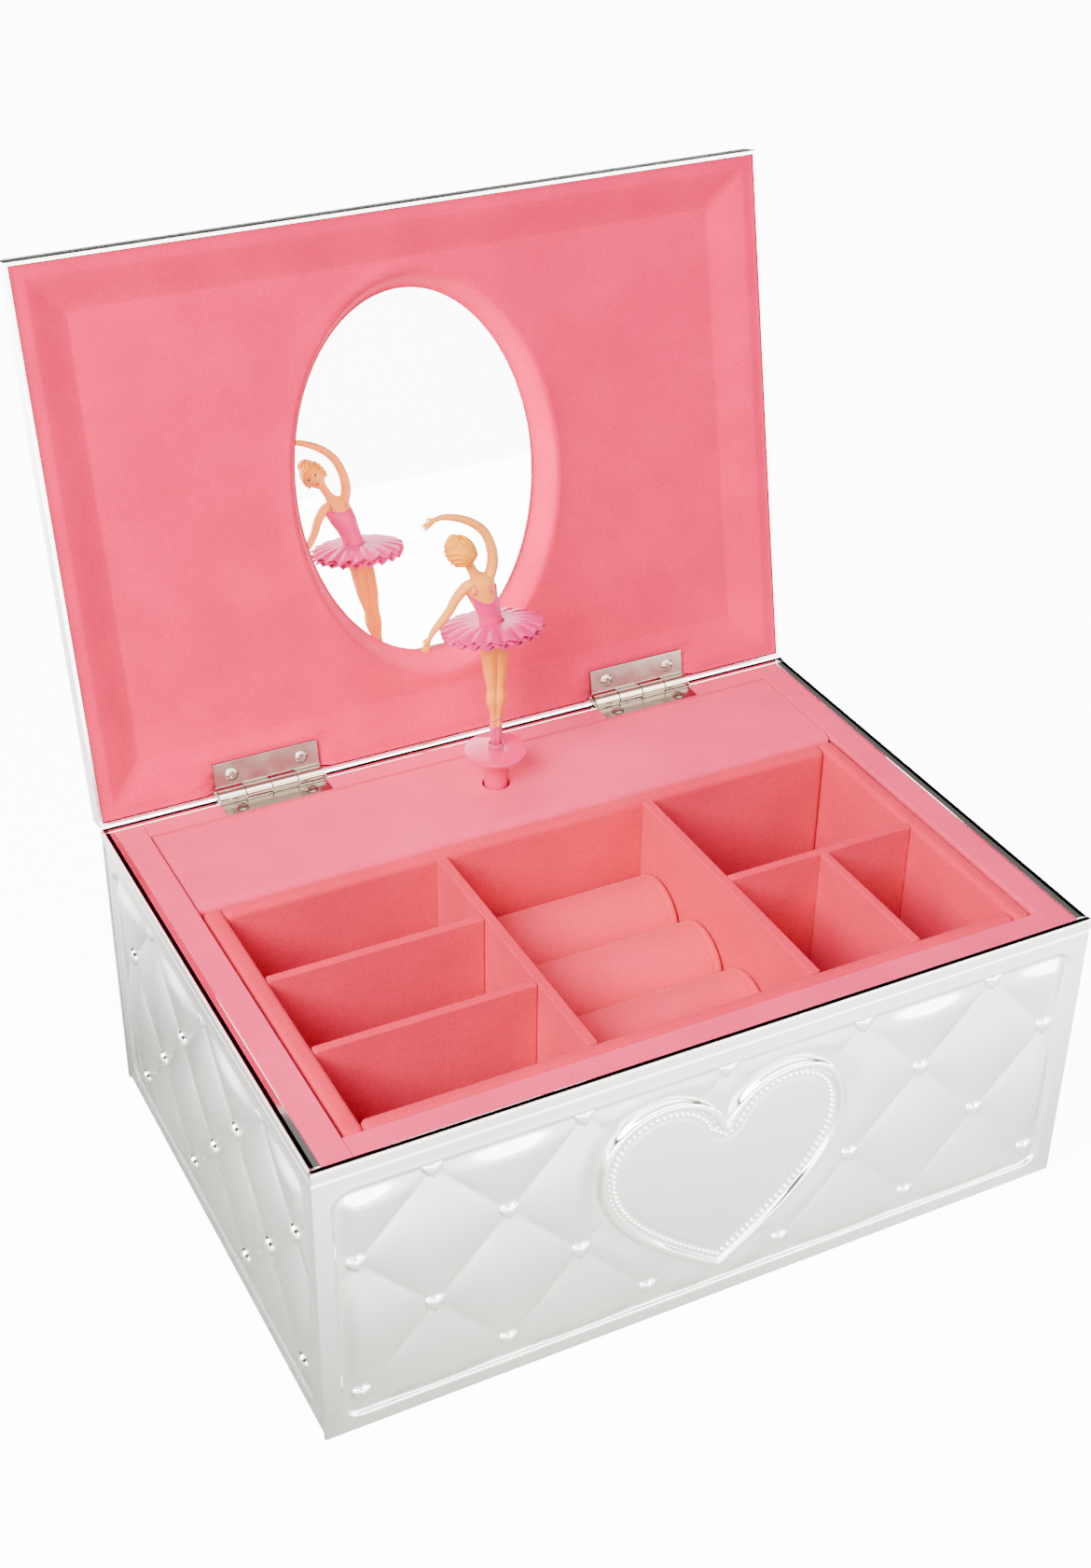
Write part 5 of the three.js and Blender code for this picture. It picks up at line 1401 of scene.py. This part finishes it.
class BOX_OT_stage(bpy.types.Operator):
    """Makes the pale floor, the soft studio light and the camera"""

    bl_idname = "jewel_box.stage"
    bl_label = "Floor, light and camera"

    def execute(self, context):
        self.floor()
        self.world()
        self.lights()
        self.camera()
        return {"FINISHED"}

    @staticmethod
    def sheet(name, middle, across, up):
        """A flat four-cornered sheet, from its middle and its two half sides, in metres."""
        corners = [middle + across * a + up * b for a, b in ((-1, -1), (1, -1), (1, 1), (-1, 1))]
        mesh = bpy.data.meshes.new(name)
        mesh.from_pydata([tuple(map(float, corner)) for corner in corners], [], [(0, 1, 2, 3)])
        piece = bpy.data.objects.new(name, mesh)
        bpy.context.scene.collection.objects.link(piece)
        return piece

    def floor(self):
        """A plain pale floor that glows white to the camera."""
        floor = self.sheet("floor", np.zeros(3), np.array([3.0, 0, 0]), np.array([0, 3.0, 0]))
        material, tree, shader = new_material("Pale studio floor")
        shader.inputs["Base Color"].default_value = (0.6, 0.6, 0.59, 1)
        shader.inputs["Roughness"].default_value = 0.8
        shader.inputs["Specular IOR Level"].default_value = 0.2
        tree.links.new(self.floor_tone(tree), shader.inputs["Emission Strength"])
        shader.inputs["Emission Color"].default_value = (1, 1, 1, 1)
        floor.data.materials.append(material)

    def floor_tone(self, tree):
        """How much the floor glows: white to the camera; in reflections grey by the box, white far off."""
        place_on = add_node(tree, "ShaderNodeTexCoord").outputs["Object"]
        spot = add_node(tree, "ShaderNodeSeparateXYZ", links={"Vector": place_on})
        away = {}
        for key, axis, half in ((0, "X", BOX_WIDTH / 2), (1, "Y", BOX_DEPTH / 2)):
            size = add_node(tree, "ShaderNodeMath", links={0: spot.outputs[axis]}, operation="ABSOLUTE")
            past = add_node(
                tree, "ShaderNodeMath", {1: half * MM}, {0: size.outputs["Value"]}, operation="SUBTRACT"
            )
            away[key] = past.outputs["Value"]
        far = add_node(tree, "ShaderNodeMath", links=away, operation="MAXIMUM")
        slant = add_node(tree, "ShaderNodeMath", {1: 0.22}, {0: spot.outputs["X"]}, operation="MULTIPLY")
        place_at = add_node(
            tree, "ShaderNodeMath", operation="ADD",
            links={0: far.outputs["Value"], 1: slant.outputs["Value"]},
        )
        near = add_node(
            tree, "ShaderNodeMapRange", {"From Min": -0.03, "From Max": 0.11, "To Min": -1.2, "To Max": 3.6},
            {"Value": place_at.outputs["Value"]},
        )
        beyond = add_node(
            tree, "ShaderNodeMapRange", {"From Min": 0.25, "From Max": 0.6, "To Min": 0.0, "To Max": 12.0},
            {"Value": far.outputs["Value"]},
        )
        path = add_node(tree, "ShaderNodeLightPath")
        both = add_node(
            tree, "ShaderNodeMath", operation="ADD",
            links={0: near.outputs["Result"], 1: beyond.outputs["Result"]},
        )
        mirrored = add_node(
            tree, "ShaderNodeMath", operation="MULTIPLY",
            links={0: both.outputs["Value"], 1: path.outputs["Is Glossy Ray"]},
        )
        seen = add_node(
            tree, "ShaderNodeMath", {1: FLOOR_WHITE}, {0: path.outputs["Is Camera Ray"]}, operation="MULTIPLY"
        )
        glow = add_node(
            tree, "ShaderNodeMath", operation="ADD",
            links={0: mirrored.outputs["Value"], 1: seen.outputs["Value"]},
        )
        return glow.outputs["Value"]

    def world(self):
        """The room: white to the camera; for light a grey that is brighter overhead; and for reflections
        white on the camera's side and dim behind the box, with a dark band a little above the horizon."""
        world = bpy.data.worlds.new("studio")
        bpy.context.scene.world = world
        world.use_nodes = True
        tree = world.node_tree
        tree.nodes.clear()
        incoming = add_node(tree, "ShaderNodeNewGeometry").outputs["Incoming"]
        way = add_node(tree, "ShaderNodeSeparateXYZ", links={"Vector": incoming})
        level = add_node(
            tree, "ShaderNodeMapRange", {"From Min": -0.7, "From Max": 0.0, "To Min": 0.45, "To Max": 0.28},
            {"Value": way.outputs["Z"]},
        )
        ahead = add_node(
            tree, "ShaderNodeMapRange", {"From Min": 0.1, "From Max": 0.6, "To Min": 0.3, "To Max": 12.0},
            {"Value": way.outputs["Y"]},
        )
        shifted = add_node(tree, "ShaderNodeMath", {1: 0.36}, {0: way.outputs["Z"]}, operation="ADD")
        gap = add_node(tree, "ShaderNodeMath", links={0: shifted.outputs["Value"]}, operation="ABSOLUTE")
        dark = add_node(
            tree, "ShaderNodeMapRange", {"From Min": 0.07, "From Max": 0.13, "To Min": 0.04, "To Max": 1.0},
            {"Value": gap.outputs["Value"]},
        )
        banded = add_node(
            tree, "ShaderNodeMath", operation="MULTIPLY",
            links={0: ahead.outputs["Result"], 1: dark.outputs["Result"]},
        )
        path = add_node(tree, "ShaderNodeLightPath").outputs
        mirrored = add_node(
            tree, "ShaderNodeMix",
            links={
                "Factor": path["Is Glossy Ray"], "A": level.outputs["Result"], "B": banded.outputs["Value"],
            },
        )
        seen = add_node(
            tree, "ShaderNodeMix", {"B": ROOM_WHITE},
            {"Factor": path["Is Camera Ray"], "A": mirrored.outputs["Result"]},
        )
        background = add_node(
            tree, "ShaderNodeBackground", {"Color": (1, 1, 1, 1)}, {"Strength": seen.outputs["Result"]}
        )
        add_node(tree, "ShaderNodeOutputWorld", links={"Surface": background.outputs["Background"]})

    def lights(self):
        """A soft key light from the front left, a weak fill from the right, and a black card to reflect."""
        for name, spot, aim, size, power in (
            ("key", (-0.68, -0.42, 0.75), (0.02, 0, 0.08), 0.6, 33.0),
            ("fill", (0.7, -0.7, 0.6), (0, 0, 0.05), 0.6, 4.0),
        ):
            lamp = bpy.data.lights.new(name, "AREA")
            lamp.energy, lamp.size = power, size
            holder = bpy.data.objects.new(name, lamp)
            bpy.context.scene.collection.objects.link(holder)
            holder.location = spot
            holder.rotation_euler = look_angles(np.array(aim) - np.array(spot))
        self.dark_card()

    def dark_card(self):
        """A black card that only reflections see."""
        across, up = np.array([0.77, -0.63, 0]) * 0.34, np.array([-0.35, -0.42, 0.83]) * 0.40
        card = self.sheet("dark_card", np.array([0.70, 0.86, 0.86]), across, up)
        material, _, shader = new_material("Black studio card")
        shader.inputs["Base Color"].default_value = (0.004, 0.004, 0.004, 1)
        shader.inputs["Roughness"].default_value = 0.9
        card.data.materials.append(material)
        card.visible_camera = card.visible_diffuse = card.visible_shadow = False
        card.visible_transmission = False

    def camera(self):
        """The camera, high at the front left and looking down into the box."""
        lens = bpy.data.cameras.new("camera")
        lens.lens, lens.sensor_width = CAMERA_LENS, 36.0
        camera = bpy.data.objects.new("camera", lens)
        bpy.context.scene.collection.objects.link(camera)
        camera.location = CAMERA_PLACE
        camera.rotation_euler = tuple(np.radians(CAMERA_ANGLES))
        bpy.context.scene.camera = camera


def look_angles(way):
    """Euler angles that point an object's -Z along a direction."""
    way = way / np.linalg.norm(way)
    return (float(np.arccos(-way[2])), 0.0, float(np.arctan2(way[1], way[0]) - np.pi / 2))


# ------------------------------------------------------------------ add-on


class BOX_PT_panel(bpy.types.Panel):
    """Sizes, colours and makers of the jewellery box"""

    bl_label = "Jewellery Box"
    bl_idname = "BOX_PT_panel"
    bl_space_type = "VIEW_3D"
    bl_region_type = "UI"
    bl_category = "Jewellery Box"

    def draw(self, context):
        for group in SETTINGS:
            settings = getattr(context.scene, group)
            column = self.layout.column()
            for name in settings.__annotations__:
                column.prop(settings, name)
        for operator in OPERATORS:
            self.layout.operator(operator.bl_idname)


SETTINGS = {"box_plating": PlatingSettings, "box_lining": LiningSettings, "box_dancer": DancerSettings}
OPERATORS = (
    BOX_OT_panels, BOX_OT_large_heart, BOX_OT_linings, BOX_OT_tray, BOX_OT_lid, BOX_OT_hinges,
    BOX_OT_works, BOX_OT_pedestal, BOX_OT_dancer, BOX_OT_stage,
)


def register():
    """Registers the settings, the makers and the panel."""
    for kind in (*SETTINGS.values(), *OPERATORS, BOX_PT_panel):
        bpy.utils.register_class(kind)
    for name, kind in SETTINGS.items():
        setattr(bpy.types.Scene, name, bpy.props.PointerProperty(type=kind))


def unregister():
    """Takes them out again, the settings last."""
    for name in SETTINGS:
        delattr(bpy.types.Scene, name)
    for kind in (BOX_PT_panel, *reversed(OPERATORS), *SETTINGS.values()):
        bpy.utils.unregister_class(kind)


def main():
    """Makes every piece in order."""
    register()
    make_materials()
    for operator in OPERATORS:
        group, name = operator.bl_idname.split(".")
        getattr(getattr(bpy.ops, group), name)()


if __name__ == "__main__":
    main()
